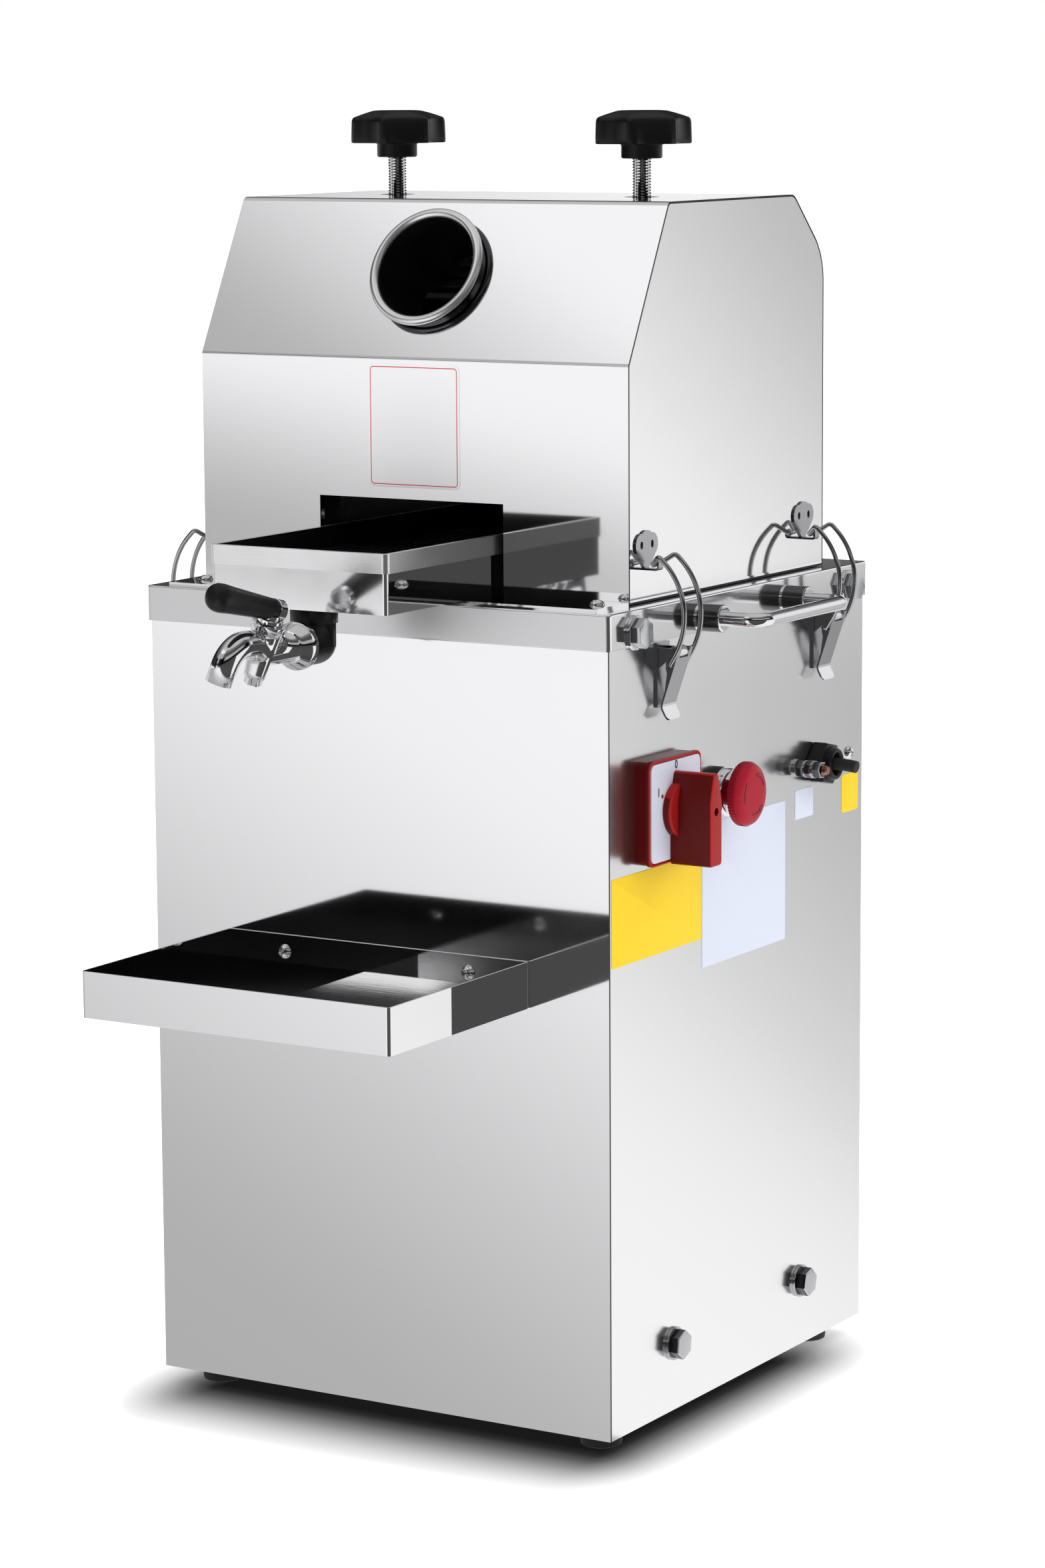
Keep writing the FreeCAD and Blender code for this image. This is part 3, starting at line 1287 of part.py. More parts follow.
def latch_lever(y):
    at = latch_points(y)
    px, pz = at["pivot"]
    wx, wz = at["pin"]
    top = (px + 5.2, pz + 2.5)
    neck = (half_width + 6.0, pz - lever_neck_drop)
    curl = (half_width + 5.0, pz - lever_neck_drop - 3.5)
    tip = (half_width + 9.0, pz - lever_tip_drop)
    w = lever_half_width
    plate = bent_sheet([top, neck, curl, tip], [1.5, 4.0], -lever_sheet, "xz", y - w, y + w)
    cheeks = []
    for side in (-1, 1):
        y0 = y + w - lever_sheet if side > 0 else y - w
        cheeks.append(prism([(top[0], y0, top[1]), (px - 2.6, y0, pz + 2.5), (px - 3.6, y0, pz - 1),
                             (wx - 3.2, y0, wz - 2),
                             (wx - 2.4, y0, wz - 5), (neck[0] + 0.6, y0, neck[1] + 4)],
                             (0, lever_sheet, 0)))
    lever = fused([plate] + cheeks)
    hole = wire_radius + running_clearance
    lever = lever.cut(rod((px, y - 2 * w, pz), (0, 1, 0), hole, 4 * w))
    return one(lever.cut(rod((wx, y - 2 * w, wz), (0, 1, 0), hole, 4 * w)))


def latch_bail(y):
    at = latch_points(y)
    wx, wz = at["pin"]
    hx, hz = at["hook"]
    sx, sz = at["shoulder"]
    bx, bz = at["bulge"]
    s = wire_half_span
    inner = lever_half_width - lever_sheet
    half = [Vector(wx, -inner - 0.1, wz), Vector(wx, -s, wz), Vector(bx, -s, bz), Vector(sx, -s, sz),
            Vector(hx, -4.8, hz)]
    other = [Vector(p.x, -p.y, p.z) for p in reversed(half)]
    radii = [1.8, 44.0, 2.6, 2.4]
    bail = round_bar(half + other, radii + radii[::-1], wire_radius)
    bail.translate(Vector(0, y, 0))
    return one(bail)


def latch_keeper(y):
    at = latch_points(y)
    hx, hz = at["hook"]
    x0 = hood_half
    z = deck_top + keeper_height
    crown_z = z + keeper_crown - keeper_crown_radius
    discs = [rod((x0, y, crown_z), (1, 0, 0), keeper_crown_radius, keeper_sheet)]
    for side in (-1, 1):
        discs.append(rod((x0, y + side * keeper_side_out, z), (1, 0, 0), keeper_side_radius, keeper_sheet))
    floor = hz - wire_radius - 1.0
    reach = keeper_side_radius * math.sqrt(0.5)
    shoulder = keeper_side_out + reach
    half_hook = hook_width / 2
    neck = prism([(x0, y - shoulder, z - reach), (x0, y - half_hook, z - reach - shoulder + half_hook),
                  (x0, y - half_hook, floor - keeper_sheet), (x0, y + half_hook, floor - keeper_sheet),
                  (x0, y + half_hook, z - reach - shoulder + half_hook), (x0, y + shoulder, z - reach)],
                 (keeper_sheet, 0, 0))
    lip_in = hx + wire_radius + hook_clearance
    hook = bent_sheet([(x0 + 0.2, floor - keeper_sheet), (lip_in + keeper_sheet, floor - keeper_sheet),
                       (lip_in + keeper_sheet, hz + hook_rise - wire_radius)],
                      [2.0], keeper_sheet, "xz", y - hook_width / 2, y + hook_width / 2)
    keeper = fused(discs + [neck, hook])
    half = keeper_hole_length / 2 - keeper_hole_radius
    for side in (-1, 1):
        at_y = y + side * keeper_side_out
        for end in (-1, 1):
            keeper = keeper.cut(rod((x0 - 1, at_y, z + end * half), (1, 0, 0), keeper_hole_radius, 4))
        keeper = keeper.cut(block(x0 - 1, x0 + 3, at_y - keeper_hole_radius, at_y + keeper_hole_radius,
                                  z - half, z + half))
    return one(keeper)


def make_latches():
    bases = []
    keepers = []
    for y, place in ((-latch_y, "front"), (latch_y, "rear")):
        bases += on_both_sides([latch_base(y)])
        keepers += on_both_sides([latch_keeper(y)])
        lever = latch_lever(y)
        bail = latch_bail(y)
        keep("latch_lever_right_" + place, lever)
        keep("latch_lever_left_" + place, one(mirrored(lever)))
        keep("latch_bail_right_" + place, bail)
        keep("latch_bail_left_" + place, one(mirrored(bail)))
    keep("latch_bases", *bases)
    keep("latch_keepers", *keepers)


make_chassis()
make_feet()
make_panels()
make_deck()
make_bolts()
make_strip()
make_side_handles()
make_cup_tray()
make_switch()
make_stop()
make_terminals()
make_head()
make_rollers()
make_drive()
make_juice_tray()
make_outlet()
make_hood()
make_chute()
make_screws()
make_latches()

os.makedirs("parts", exist_ok=True)
for name, shape in parts.items():
    shape.exportStep("parts/" + name + ".step")
    print(name, len(shape.Solids), "solids", round(shape.Volume / 1000, 1), "cm3",
          "valid" if shape.isValid() else "INVALID")
print(len(parts), "nodes")
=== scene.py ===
import json
import math
import random

import bmesh
import bpy
from mathutils import Matrix, Vector


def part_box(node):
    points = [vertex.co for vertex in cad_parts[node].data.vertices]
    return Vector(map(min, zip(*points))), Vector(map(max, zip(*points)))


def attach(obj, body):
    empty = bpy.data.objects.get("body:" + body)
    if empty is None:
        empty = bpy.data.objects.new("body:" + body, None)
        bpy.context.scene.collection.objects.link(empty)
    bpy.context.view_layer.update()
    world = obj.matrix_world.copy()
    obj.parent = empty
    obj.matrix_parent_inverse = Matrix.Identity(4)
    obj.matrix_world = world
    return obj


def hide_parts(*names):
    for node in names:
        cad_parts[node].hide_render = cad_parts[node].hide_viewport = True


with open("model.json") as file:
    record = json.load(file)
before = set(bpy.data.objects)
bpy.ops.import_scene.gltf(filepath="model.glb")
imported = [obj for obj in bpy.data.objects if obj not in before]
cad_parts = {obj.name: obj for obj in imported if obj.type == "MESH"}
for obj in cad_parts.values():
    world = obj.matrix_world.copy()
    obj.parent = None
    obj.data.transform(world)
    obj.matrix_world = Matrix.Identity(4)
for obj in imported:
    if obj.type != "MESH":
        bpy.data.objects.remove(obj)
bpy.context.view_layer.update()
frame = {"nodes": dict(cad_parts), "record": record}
cadNodes = frame["nodes"]
bodyOfNode = {}
for bodyName, members in frame["record"]["behaviour"]["bodies"].items():
    for member in members:
        bodyOfNode[member] = bodyName
print("frame loaded")

mm = 0.001
upZ = Vector((0, 0, 1))


def feed(tree, node, inputs):
    # each input, by name or number, takes a link or a value
    for key, value in inputs.items():
        if isinstance(value, bpy.types.NodeSocket):
            tree.links.new(value, node.inputs[key])
        else:
            node.inputs[key].default_value = value
    return node


def addNode(tree, kind, inputs=None):
    return feed(tree, tree.nodes.new("ShaderNode" + kind), inputs or {})


def mathOf(tree, operation, *terms, clamp=False):
    node = addNode(tree, "Math", dict(enumerate(terms)))
    node.operation = operation
    node.use_clamp = clamp
    return node.outputs[0]


def vectorOf(tree, operation, *terms, output=0):
    node = addNode(tree, "VectorMath", dict(enumerate(terms)))
    node.operation = operation
    return node.outputs[output]


def mixOf(tree, blend, first, second, factor=1.0):
    node = addNode(tree, "Mix")
    node.data_type = "RGBA"
    node.blend_type = blend
    return feed(tree, node, {0: factor, 6: first, 7: second}).outputs[2]


def noiseOf(tree, place, scale, detail, roughness=0.5):
    inputs = {"Vector": place, "Scale": scale, "Detail": detail, "Roughness": roughness}
    return addNode(tree, "TexNoise", inputs).outputs["Fac"]


def openGroup(name, inputs, outputs):
    # a node group with its sockets, colours where they are named or start so; what it reads and what it fills
    group = bpy.data.node_groups.new(name, "ShaderNodeTree")
    for label, start in inputs.items():
        kind = "NodeSocketColor" if isinstance(start, tuple) else "NodeSocketFloat"
        group.interface.new_socket(name=label, in_out="INPUT", socket_type=kind).default_value = start
    for label in outputs:
        kind = "NodeSocketColor" if label == "Color" else "NodeSocketFloat"
        group.interface.new_socket(name=label, in_out="OUTPUT", socket_type=kind)
    return group, group.nodes.new("NodeGroupInput").outputs, group.nodes.new("NodeGroupOutput")


def buildHandling():
    # faint cloudy smudges, hairline scratches and a slow ripple, as on handled polished sheet
    group, given, filled = openGroup("sheetHandling", {"Base Roughness": 0.1, "Smudge": 0.05, "Smudge Scale": 6.0,
                                                       "Scratch": 0.3, "Ripple": 0.5}, ("Roughness", "Height"))
    place = addNode(group, "TexCoord").outputs["Object"]
    cloud = noiseOf(group, place, given["Smudge Scale"], 5, 0.6)
    smudge = mathOf(group, "MULTIPLY", mathOf(group, "SUBTRACT", cloud, 0.45), given["Smudge"])
    stretch = addNode(group, "Mapping", {"Vector": place, "Scale": (1.0, 1.0, 24.0), "Rotation": (0.35, 0.3, 0.2)})
    hair = mathOf(group, "MULTIPLY", noiseOf(group, stretch.outputs[0], 60, 3), given["Scratch"])
    wave = mathOf(group, "MULTIPLY", noiseOf(group, place, 2.6, 1), given["Ripple"])
    feed(group, filled, {"Roughness": mathOf(group, "ADD", smudge, given["Base Roughness"], clamp=True),
                         "Height": mathOf(group, "ADD", hair, wave)})
    return group


def buildGrain():
    # fine pits and a soft mottling, as on moulded plastic, rubber, casting and paint
    group, given, filled = openGroup("mouldedGrain", {"Color": (0.1, 0.1, 0.1, 1), "Dust Color": (0.5, 0.5, 0.5, 1),
                                                      "Dust": 0.05, "Grain Scale": 900.0, "Base Roughness": 0.4,
                                                      "Roughness Change": 0.15}, ("Color", "Roughness", "Height"))
    place = addNode(group, "TexCoord").outputs["Object"]
    cloud = noiseOf(group, place, 38, 6)
    dusty = mathOf(group, "MULTIPLY", cloud, given["Dust"], clamp=True)
    swing = mathOf(group, "MULTIPLY", cloud, given["Roughness Change"])
    feed(group, filled, {"Color": mixOf(group, "MIX", given["Color"], given["Dust Color"], dusty),
                         "Roughness": mathOf(group, "ADD", swing, given["Base Roughness"], clamp=True),
                         "Height": noiseOf(group, place, given["Grain Scale"], 2)})
    return group


sheetHandling = buildHandling()
mouldedGrain = buildGrain()


def startMaterial(name):
    material = bpy.data.materials.new(name)
    material.use_nodes = True
    return material, material.node_tree, material.node_tree.nodes["Principled BSDF"]


def groupIn(tree, group, inputs):
    node = tree.nodes.new("ShaderNodeGroup")
    node.node_tree = group
    return feed(tree, node, inputs).outputs


def bumpOf(tree, height, values):
    inputs = {"Strength": values["bump"], "Distance": values["depth"] * mm, "Height": height}
    return addNode(tree, "Bump", inputs).outputs["Normal"]


def metalFinish(name, values):
    material, tree, shader = startMaterial(name)
    surface = groupIn(tree, sheetHandling, {
        "Base Roughness": values["roughness"], "Smudge": values["smudge"], "Smudge Scale": values["smudgeScale"],
        "Scratch": values["scratch"], "Ripple": values["ripple"]})
    feed(tree, shader, {"Base Color": (*values["color"], 1), "Metallic": 1.0, "Roughness": surface["Roughness"],
                        "Normal": bumpOf(tree, surface["Height"], values)})
    return material


def mouldedFinish(name, values):
    material, tree, shader = startMaterial(name)
    surface = groupIn(tree, mouldedGrain, {
        "Color": (*values["color"], 1), "Dust Color": (*values["dustColor"], 1), "Dust": values["dust"],
        "Grain Scale": values["grainScale"], "Base Roughness": values["roughness"], "Roughness Change": 0.12})
    feed(tree, shader, {"Base Color": surface["Color"], "Roughness": surface["Roughness"], "Metallic": 0.0,
                        "Specular IOR Level": values["specular"], "Normal": bumpOf(tree, surface["Height"], values)})
    return material


# a row per finish, under the columns' names; depth is in millimetres
metalColumns = ("color", "roughness", "smudge", "smudgeScale", "scratch", "ripple", "bump", "depth")
metals = {
    "polishedSheet": ((0.90, 0.90, 0.905), 0.05, 0.05, 7, 0.002, 0.8, 0.05, 4),
    "sidePanelSheet": ((0.90, 0.90, 0.905), 0.18, 0.05, 7, 0.006, 0.6, 0.05, 4),
    "deckSheet": ((0.90, 0.90, 0.905), 0.10, 0.05, 7, 0.004, 0.5, 0.05, 3),
    "deckFront": ((0.90, 0.90, 0.905), 0.38, 0.05, 7, 0.02, 0.8, 0.05, 4),
    "paintedSeamShade": ((0.05, 0.05, 0.05), 0.5, 0.1, 7, 0.2, 0, 0.05, 1),
    "latchSteel": ((0.46, 0.46, 0.47), 0.16, 0.12, 90, 0.3, 0, 0.08, 0.5),
    "trayPolish": ((0.86, 0.86, 0.865), 0.02, 0.015, 22, 0.006, 0.3, 0.08, 1),
    "brushedLitTrayFront": ((0.97, 0.97, 0.975), 0.09, 0.1, 22, 0.006, 0.4, 0.08, 1),
    "rimSteel": ((0.97, 0.97, 0.975), 0.3, 0.12, 60, 0.6, 0, 0.15, 0.6),
    "paintedShadeTube": ((0.10, 0.10, 0.105), 0.14, 0.08, 60, 0.05, 0, 0.04, 0.5),
    "paintedShadeHollow": ((0.05, 0.05, 0.05), 0.45, 0.2, 30, 0.3, 0, 0.1, 0.5),
    "chrome": ((0.84, 0.84, 0.85), 0.05, 0.05, 60, 0.05, 0, 0.04, 0.5),
    "boltSteel": ((0.50, 0.50, 0.51), 0.14, 0.1, 90, 0.2, 0, 0.06, 0.4),
    # paintedShadeSteel: a near-black steel used as painted shade and painted dark reflection on bolts, nuts, collars
    # and keepers
    "paintedShadeSteel": ((0.13, 0.13, 0.135), 0.2, 0.12, 90, 0.2, 0, 0.06, 0.4),
    "zincSteel": ((0.74, 0.74, 0.755), 0.2, 0.16, 90, 0.3, 0, 0.12, 0.5),
    "turnedSteel": ((0.60, 0.61, 0.62), 0.24, 0.2, 40, 0.5, 0, 0.2, 0.6),
    "gearSteel": ((0.36, 0.35, 0.34), 0.32, 0.3, 55, 0.5, 0, 0.25, 0.6),
    "frameSteel": ((0.42, 0.43, 0.44), 0.4, 0.25, 18, 0.5, 0, 0.25, 0.8),
    "bronze": ((0.62, 0.42, 0.20), 0.3, 0.2, 60, 0.3, 0, 0.15, 0.5),
    "copper": ((0.42, 0.20, 0.14), 0.28, 0.2, 300, 0.3, 0, 0.1, 0.3)}
mouldedColumns = ("color", "roughness", "specular", "dust", "dustColor", "bump", "depth", "grainScale")
midGrey = (0.5, 0.5, 0.5)
moulded = {
    "blackPlastic": ((0.004, 0.004, 0.0045), 0.3, 0.3, 0.006, midGrey, 0.12, 0.2, 1200),
    "phenolic": ((0.003, 0.003, 0.0035), 0.25, 0.25, 0.006, midGrey, 0.06, 0.2, 700),
    "rubber": ((0.008, 0.008, 0.008), 0.6, 0.5, 0.03, midGrey, 0.25, 0.3, 600),
    "switchRed": ((0.30, 0.008, 0.008), 0.26, 0.15, 0.01, (0.6, 0.3, 0.3), 0.05, 0.2, 900),
    # paintedShadeRed: switchRed darkened as painted shade, for the switch's flanks that lie in shade
    "paintedShadeRed": ((0.08, 0.002, 0.002), 0.28, 0.15, 0.006, (0.5, 0.2, 0.2), 0.05, 0.2, 900),
    "stopRed": ((0.32, 0.006, 0.020), 0.24, 0.12, 0.01, (0.7, 0.4, 0.4), 0.04, 0.2, 900),
    "printWhite": ((0.84, 0.84, 0.85), 0.35, 0.5, 0.04, (0.75, 0.75, 0.77), 0.03, 0.2, 900),
    "labelWhite": ((0.57, 0.60, 0.69), 0.4, 0.15, 0.05, (0.6, 0.6, 0.64), 0.03, 0.2, 900),
    "labelYellow": ((0.78, 0.53, 0.012), 0.4, 0.15, 0.05, (0.6, 0.4, 0.05), 0.03, 0.2, 900),
    "dialFace": ((0.52, 0.52, 0.60), 0.3, 0.2, 0.04, (0.5, 0.5, 0.55), 0.03, 0.2, 900),
    "printRed": ((0.66, 0.03, 0.025), 0.4, 0.5, 0.02, midGrey, 0.1, 0.3, 900),
    "arrowRed": ((0.13, 0.003, 0.008), 0.4, 0.5, 0.02, midGrey, 0.1, 0.3, 900),
    "printBlack": ((0.02, 0.02, 0.02), 0.4, 0.5, 0.02, midGrey, 0.1, 0.3, 900),
    "contactGrey": ((0.30, 0.31, 0.33), 0.45, 0.5, 0.05, midGrey, 0.1, 0.3, 900),
    "gearboxPaint": ((0.10, 0.14, 0.18), 0.4, 0.5, 0.12, midGrey, 0.3, 0.6, 260),
    "motorPaint": ((0.06, 0.12, 0.20), 0.38, 0.5, 0.12, midGrey, 0.25, 0.5, 320)}
finishes = {name: metalFinish(name, dict(zip(metalColumns, row))) for name, row in metals.items()}
finishes.update({name: mouldedFinish(name, dict(zip(mouldedColumns, row))) for name, row in moulded.items()})
print("finishes made")


def aim(start, along, twist=0.0):
    # a matrix that takes local +Z to the direction, from the start point
    turn = Vector(along).normalized().to_track_quat("Z", "Y").to_matrix().to_4x4()
    return Matrix.Translation(Vector(start)) @ turn @ Matrix.Rotation(twist, 4, "Z")


def wallAim(start, outward):
    # local +Z out of an upright wall, local +Y up
    z = Vector(outward).normalized()
    y = upZ - z * upZ.dot(z)
    y.normalize()
    x = y.cross(z)
    turn = Matrix((x, y, z)).transposed().to_4x4()
    return Matrix.Translation(Vector(start)) @ turn


def placed(bm, matrix):
    bmesh.ops.transform(bm, matrix=matrix, verts=bm.verts)
    return bm


def spun(profile, steps=72, closed=True):
    # profile of (radius, height) pairs turned about local Z
    bm = bmesh.new()
    points = [bm.verts.new((max(r, 0.0), 0, h)) for r, h in profile]
    edges = [bm.edges.new(pair) for pair in zip(points[:-1], points[1:])]
    if closed:
        edges.append(bm.edges.new((points[-1], points[0])))
    bmesh.ops.spin(bm, geom=points + edges, axis=(0, 0, 1), cent=(0, 0, 0), angle=math.tau, steps=steps,
                   use_merge=True)
    bmesh.ops.remove_doubles(bm, verts=bm.verts, dist=1e-6)
    bmesh.ops.recalc_face_normals(bm, faces=bm.faces)
    return bm


def softened(bm, geom, offset, segments=2, affect="EDGES"):
    bmesh.ops.bevel(bm, geom=geom, offset=offset, segments=segments, profile=0.5, affect=affect, material=-1)


def raised(bm, shift):
    # pulls all faces of an open sheet along the shift, to a closed solid; gives the far corners
    made = bmesh.ops.extrude_face_region(bm, geom=list(bm.faces))["geom"]
    far = [g for g in made if isinstance(g, bmesh.types.BMVert)]
    bmesh.ops.translate(bm, vec=shift, verts=far)
    bmesh.ops.recalc_face_normals(bm, faces=bm.faces)
    return far


def plate(width, height, thickness, corner, edge):
    # a rounded rectangle in local XY, its face towards +Z
    bm = bmesh.new()
    bmesh.ops.create_grid(bm, x_segments=1, y_segments=1, size=0.5)
    bmesh.ops.scale(bm, vec=(width, height, 1), verts=bm.verts)
    softened(bm, list(bm.verts), corner, 6, "VERTICES")
    raised(bm, (0, 0, thickness))
    if edge > 0:
        softened(bm, [e for e in bm.edges if all(v.co.z > thickness * 0.9 for v in e.verts)], edge)
    return bm


def topFace(bm):
    return max(bm.faces, key=lambda f: (f.calc_center_median().z, f.calc_area()))


def box(low, high):
    bm = bmesh.new()
    bmesh.ops.create_cube(bm, size=1)
    low, high = Vector(low), Vector(high)
    bmesh.ops.scale(bm, vec=high - low, verts=bm.verts)
    bmesh.ops.translate(bm, vec=(low + high) / 2, verts=bm.verts)
    return bm


def hexBar(across, length, chamfer=0.0006):
    bm = bmesh.new()
    radius = across / math.sqrt(3)
    bmesh.ops.create_cone(bm, cap_ends=True, segments=6, radius1=radius, radius2=radius, depth=length)
    bmesh.ops.translate(bm, vec=(0, 0, length / 2), verts=bm.verts)
    softened(bm, [e for e in bm.edges if abs(e.verts[0].co.z - e.verts[1].co.z) < 1e-7], chamfer)
    return bm


def ringProfile(bore, radius, low, high, soft):
    # a washer's section, or a disc's where the bore is 0, with softened outer edges
    return [(bore, low), (radius - soft, low), (radius, low + soft), (radius, high - soft), (radius - soft, high),
            (bore, high)]


def joined(*parts):
    # several bmeshes in one; each keeps its own closed shell
    whole = bmesh.new()
    for part in parts:
        scratch = bpy.data.meshes.new("scratch")
        part.to_mesh(scratch)
        whole.from_mesh(scratch)
        bpy.data.meshes.remove(scratch)
        part.free()
    return whole


def pieceFrom(bm, name, finish, body, replaces=(), sharp=35):
    mesh = bpy.data.meshes.new(name)
    bm.to_mesh(mesh)
    bm.free()
    mesh.shade_smooth()
    mesh.set_sharp_from_angle(angle=math.radians(sharp))
    piece = bpy.data.objects.new(name, mesh)
    bpy.context.scene.collection.objects.link(piece)
    for one in (finish if isinstance(finish, list) else [finish]):
        mesh.materials.append(finishes[one])
    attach(piece, body)
    if replaces:
        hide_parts(*replaces)
    return piece


def copyOfNode(node):
    # a merged copy of a CAD node's mesh
    bm = bmesh.new()
    bm.from_mesh(cadNodes[node].data)
    bmesh.ops.remove_doubles(bm, verts=bm.verts, dist=2e-6)
    return bm


def smoothNode(node, finish, sharp):
    # the same solid with joined corners and smooth curves
    return pieceFrom(copyOfNode(node), node + "Smooth", finish, bodyOfNode[node], (node,), sharp)


def coat(node, finish):
    # a CAD node that keeps its own mesh gets its finish
    cadNodes[node].data.materials.clear()
    cadNodes[node].data.materials.append(finishes[finish])


def even(piece, limit=40):
    # every corner takes the direction of the largest face it blends with, so flat sheet beside a fold stays flat
    mesh = piece.data
    near = [[] for _ in mesh.vertices]
    for face in mesh.polygons:
        for corner in face.vertices:
            near[corner].append(face)
    least = math.cos(math.radians(limit))
    normals = []
    for face in mesh.polygons:
        for corner in face.vertices:
            total = Vector()
            for other in near[corner]:
                if other.normal.dot(face.normal) > least:
                    total += other.normal * (other.area * 1e6) ** 2
            normals.append(total.normalized() if total.length > 0 else face.normal)
    mesh.normals_split_custom_set(normals)
    return piece


def partFinish(piece, finish, test):
    # the faces that pass the test take another finish
    piece.data.materials.append(finishes[finish])
    for face in piece.data.polygons:
        if test(face):
            face.material_index = len(piece.data.materials) - 1
    return piece


def cutAt(piece, axis, level):
    # a line round the piece at a level, so that a band beside it can take its own finish
    bm = bmesh.new()
    bm.from_mesh(piece.data)
    normal = Vector([1 if i == axis else 0 for i in range(3)])
    bmesh.ops.bisect_plane(bm, geom=list(bm.verts) + list(bm.edges) + list(bm.faces), dist=1e-7,
                           plane_co=normal * level, plane_no=normal)
    bm.to_mesh(piece.data)
    bm.free()
    return piece


def darkEdges(piece, axis, finish="paintedSeamShade"):
    # the thin cut edges of a sheet that face along the axis take a darker finish, painted shade in the seams between
    # sheets
    return partFinish(piece, finish, lambda face: abs(face.normal[axis]) > 0.95)


# cabinet
coat("rear_cover", "sidePanelSheet")
coat("hood_strip", "polishedSheet")
darkEdges(smoothNode("front_panel", "polishedSheet", sharp=1), 0)
for node in ("left_panel", "right_panel"):
    darkEdges(smoothNode(node, "sidePanelSheet", sharp=1), 1)
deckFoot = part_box("top_deck")[0][2] + 0.0009
deck = even(cutAt(smoothNode("top_deck", "deckSheet", sharp=40), 2, deckFoot))
partFinish(deck, "deckFront", lambda face: face.normal.y < -0.9 and face.center.y < -0.16)
# the skirt's lowest band takes a darker zinc steel, a faint painted shadow line along its bottom edge
partFinish(deck, "zincSteel", lambda face: abs(face.normal.z) < 0.2 and face.center.z < deckFoot)
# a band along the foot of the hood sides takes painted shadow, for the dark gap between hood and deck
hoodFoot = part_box("hood_sides")[0][2] + 0.0013
hoodEnds = even(cutAt(smoothNode("hood_sides", "polishedSheet", sharp=40), 2, hoodFoot))
partFinish(hoodEnds, "paintedSeamShade", lambda face: abs(face.normal.x) > 0.9 and face.center.z < hoodFoot)
even(smoothNode("bagasse_chute", "polishedSheet", sharp=40))
for node in ("cup_tray", "juice_tray"):
    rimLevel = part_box(node)[1][2] - 0.0001
    tray = partFinish(even(smoothNode(node, "trayPolish", sharp=40)), "rimSteel",
                      lambda face: face.normal.z > 0.9 and face.center.z > rimLevel)
    # the juice tray's front face takes a lighter, rougher copy of the tray's sheet: a brushed finish and painted light
    if node == "juice_tray":
        partFinish(tray, "brushedLitTrayFront", lambda face: face.normal.y < -0.9 and face.center.y < -0.2)
for node, finish in (("chassis", "frameSteel"), ("switch_contacts", "contactGrey"), ("latch_bases", "latchSteel"),
                     ("head_sides", "frameSteel"), ("turner_plate", "chrome")):
    coat(node, finish)
print("sheets and frame dressed")

footShape = {"radius": 13.0, "height": 12.0, "grooveHeight": 8.2, "grooveDepth": 0.7, "hollow": 6.0,
             "halfX": 141.0, "halfY": 135.0}


def makeFeet(shape):
    r, h, g, d, hollow = (shape[k] * mm for k in ("radius", "height", "grooveHeight", "grooveDepth", "hollow"))
    profile = [(hollow, 0), (r - 0.0015, 0), (r - 0.0004, 0.0006), (r, 0.003), (r, g), (r - d, g + 0.0005),
               (r, g + 0.001), (r, h), (0, h), (0, hollow), (hollow, hollow)]
    corners = [(sx * shape["halfX"] * mm, sy * shape["halfY"] * mm, 0) for sx in (-1, 1) for sy in (-1, 1)]
    return joined(*(placed(spun(profile, 64, closed=False), Matrix.Translation(corner)) for corner in corners))


pieceFrom(makeFeet(footShape), "rubberFeet", "rubber", "cabinet", ("rubber_feet",))

boltShape = {"across": 16.0, "head": 6.4, "washerRadius": 10.5, "washerBore": 5.2, "washerSheet": 2.0,
             "shank": 4.9, "length": 18.0, "pitch": 1.5,
             "rows": ({"y": (-137.0, 139.0), "z": 502.5, "x": 167.1, "face": 2, "flat": 1},
                      {"y": (-87.2, 79.9), "z": 54.8, "x": 165.0, "face": 1, "flat": 3})}
screwShape = {"headRadius": 4.5, "headHeight": 2.9, "slot": 0.8, "reach": 2.5, "depth": 1.4, "shank": 1.9,
              "length": 5.5}
screwPlaces = ([((x, -166.2, 292.5), (0, -1, 0)) for x in (-67, 67)] + [((165, 146, 392.5), (1, 0, 0))]
               + [((x, -138, 518), (0, 0, 1)) for x in (-142, 142)]
               + [((x, 165, z), (0, 1, 0)) for x in (-148.5, 148.5) for z in (42, 264, 482)])


def makeBolt(shape, headFinish, flatFinish):
    # plain washer and a chamfered hexagon head with its threaded shank, along local +Z
    sheet, bore, r, pitch = (shape[k] * mm for k in ("washerSheet", "washerBore", "shank", "pitch"))
    washer = spun(ringProfile(bore, shape["washerRadius"] * mm, 0, sheet, 0.0003), 64)
    head = placed(hexBar(shape["across"] * mm, shape["head"] * mm), Matrix.Translation((0, 0, sheet)))
    level, end = sheet, sheet - shape["length"] * mm
    thread = [(0, sheet + 0.001), (r, sheet + 0.001)]
    while level > end + pitch:
        thread += [(r, level), (r - pitch / 3, level - pitch / 2)]
        level -= pitch
    thread += [(r - 0.0008, end), (0, end)]
    # painted light and shade on one steel: the chamfers take chrome as a painted highlight, and each row's flats, tops
    # and washers a lighter or darker steel
    for face in head.faces:
        face.material_index = headFinish if face.normal.z > 0.9 else 0 if face.normal.z > 0.2 else flatFinish
    for face in washer.faces:
        face.material_index = 0 if headFinish == 2 else 1
    return joined(washer, head, spun(thread, 32, closed=False))


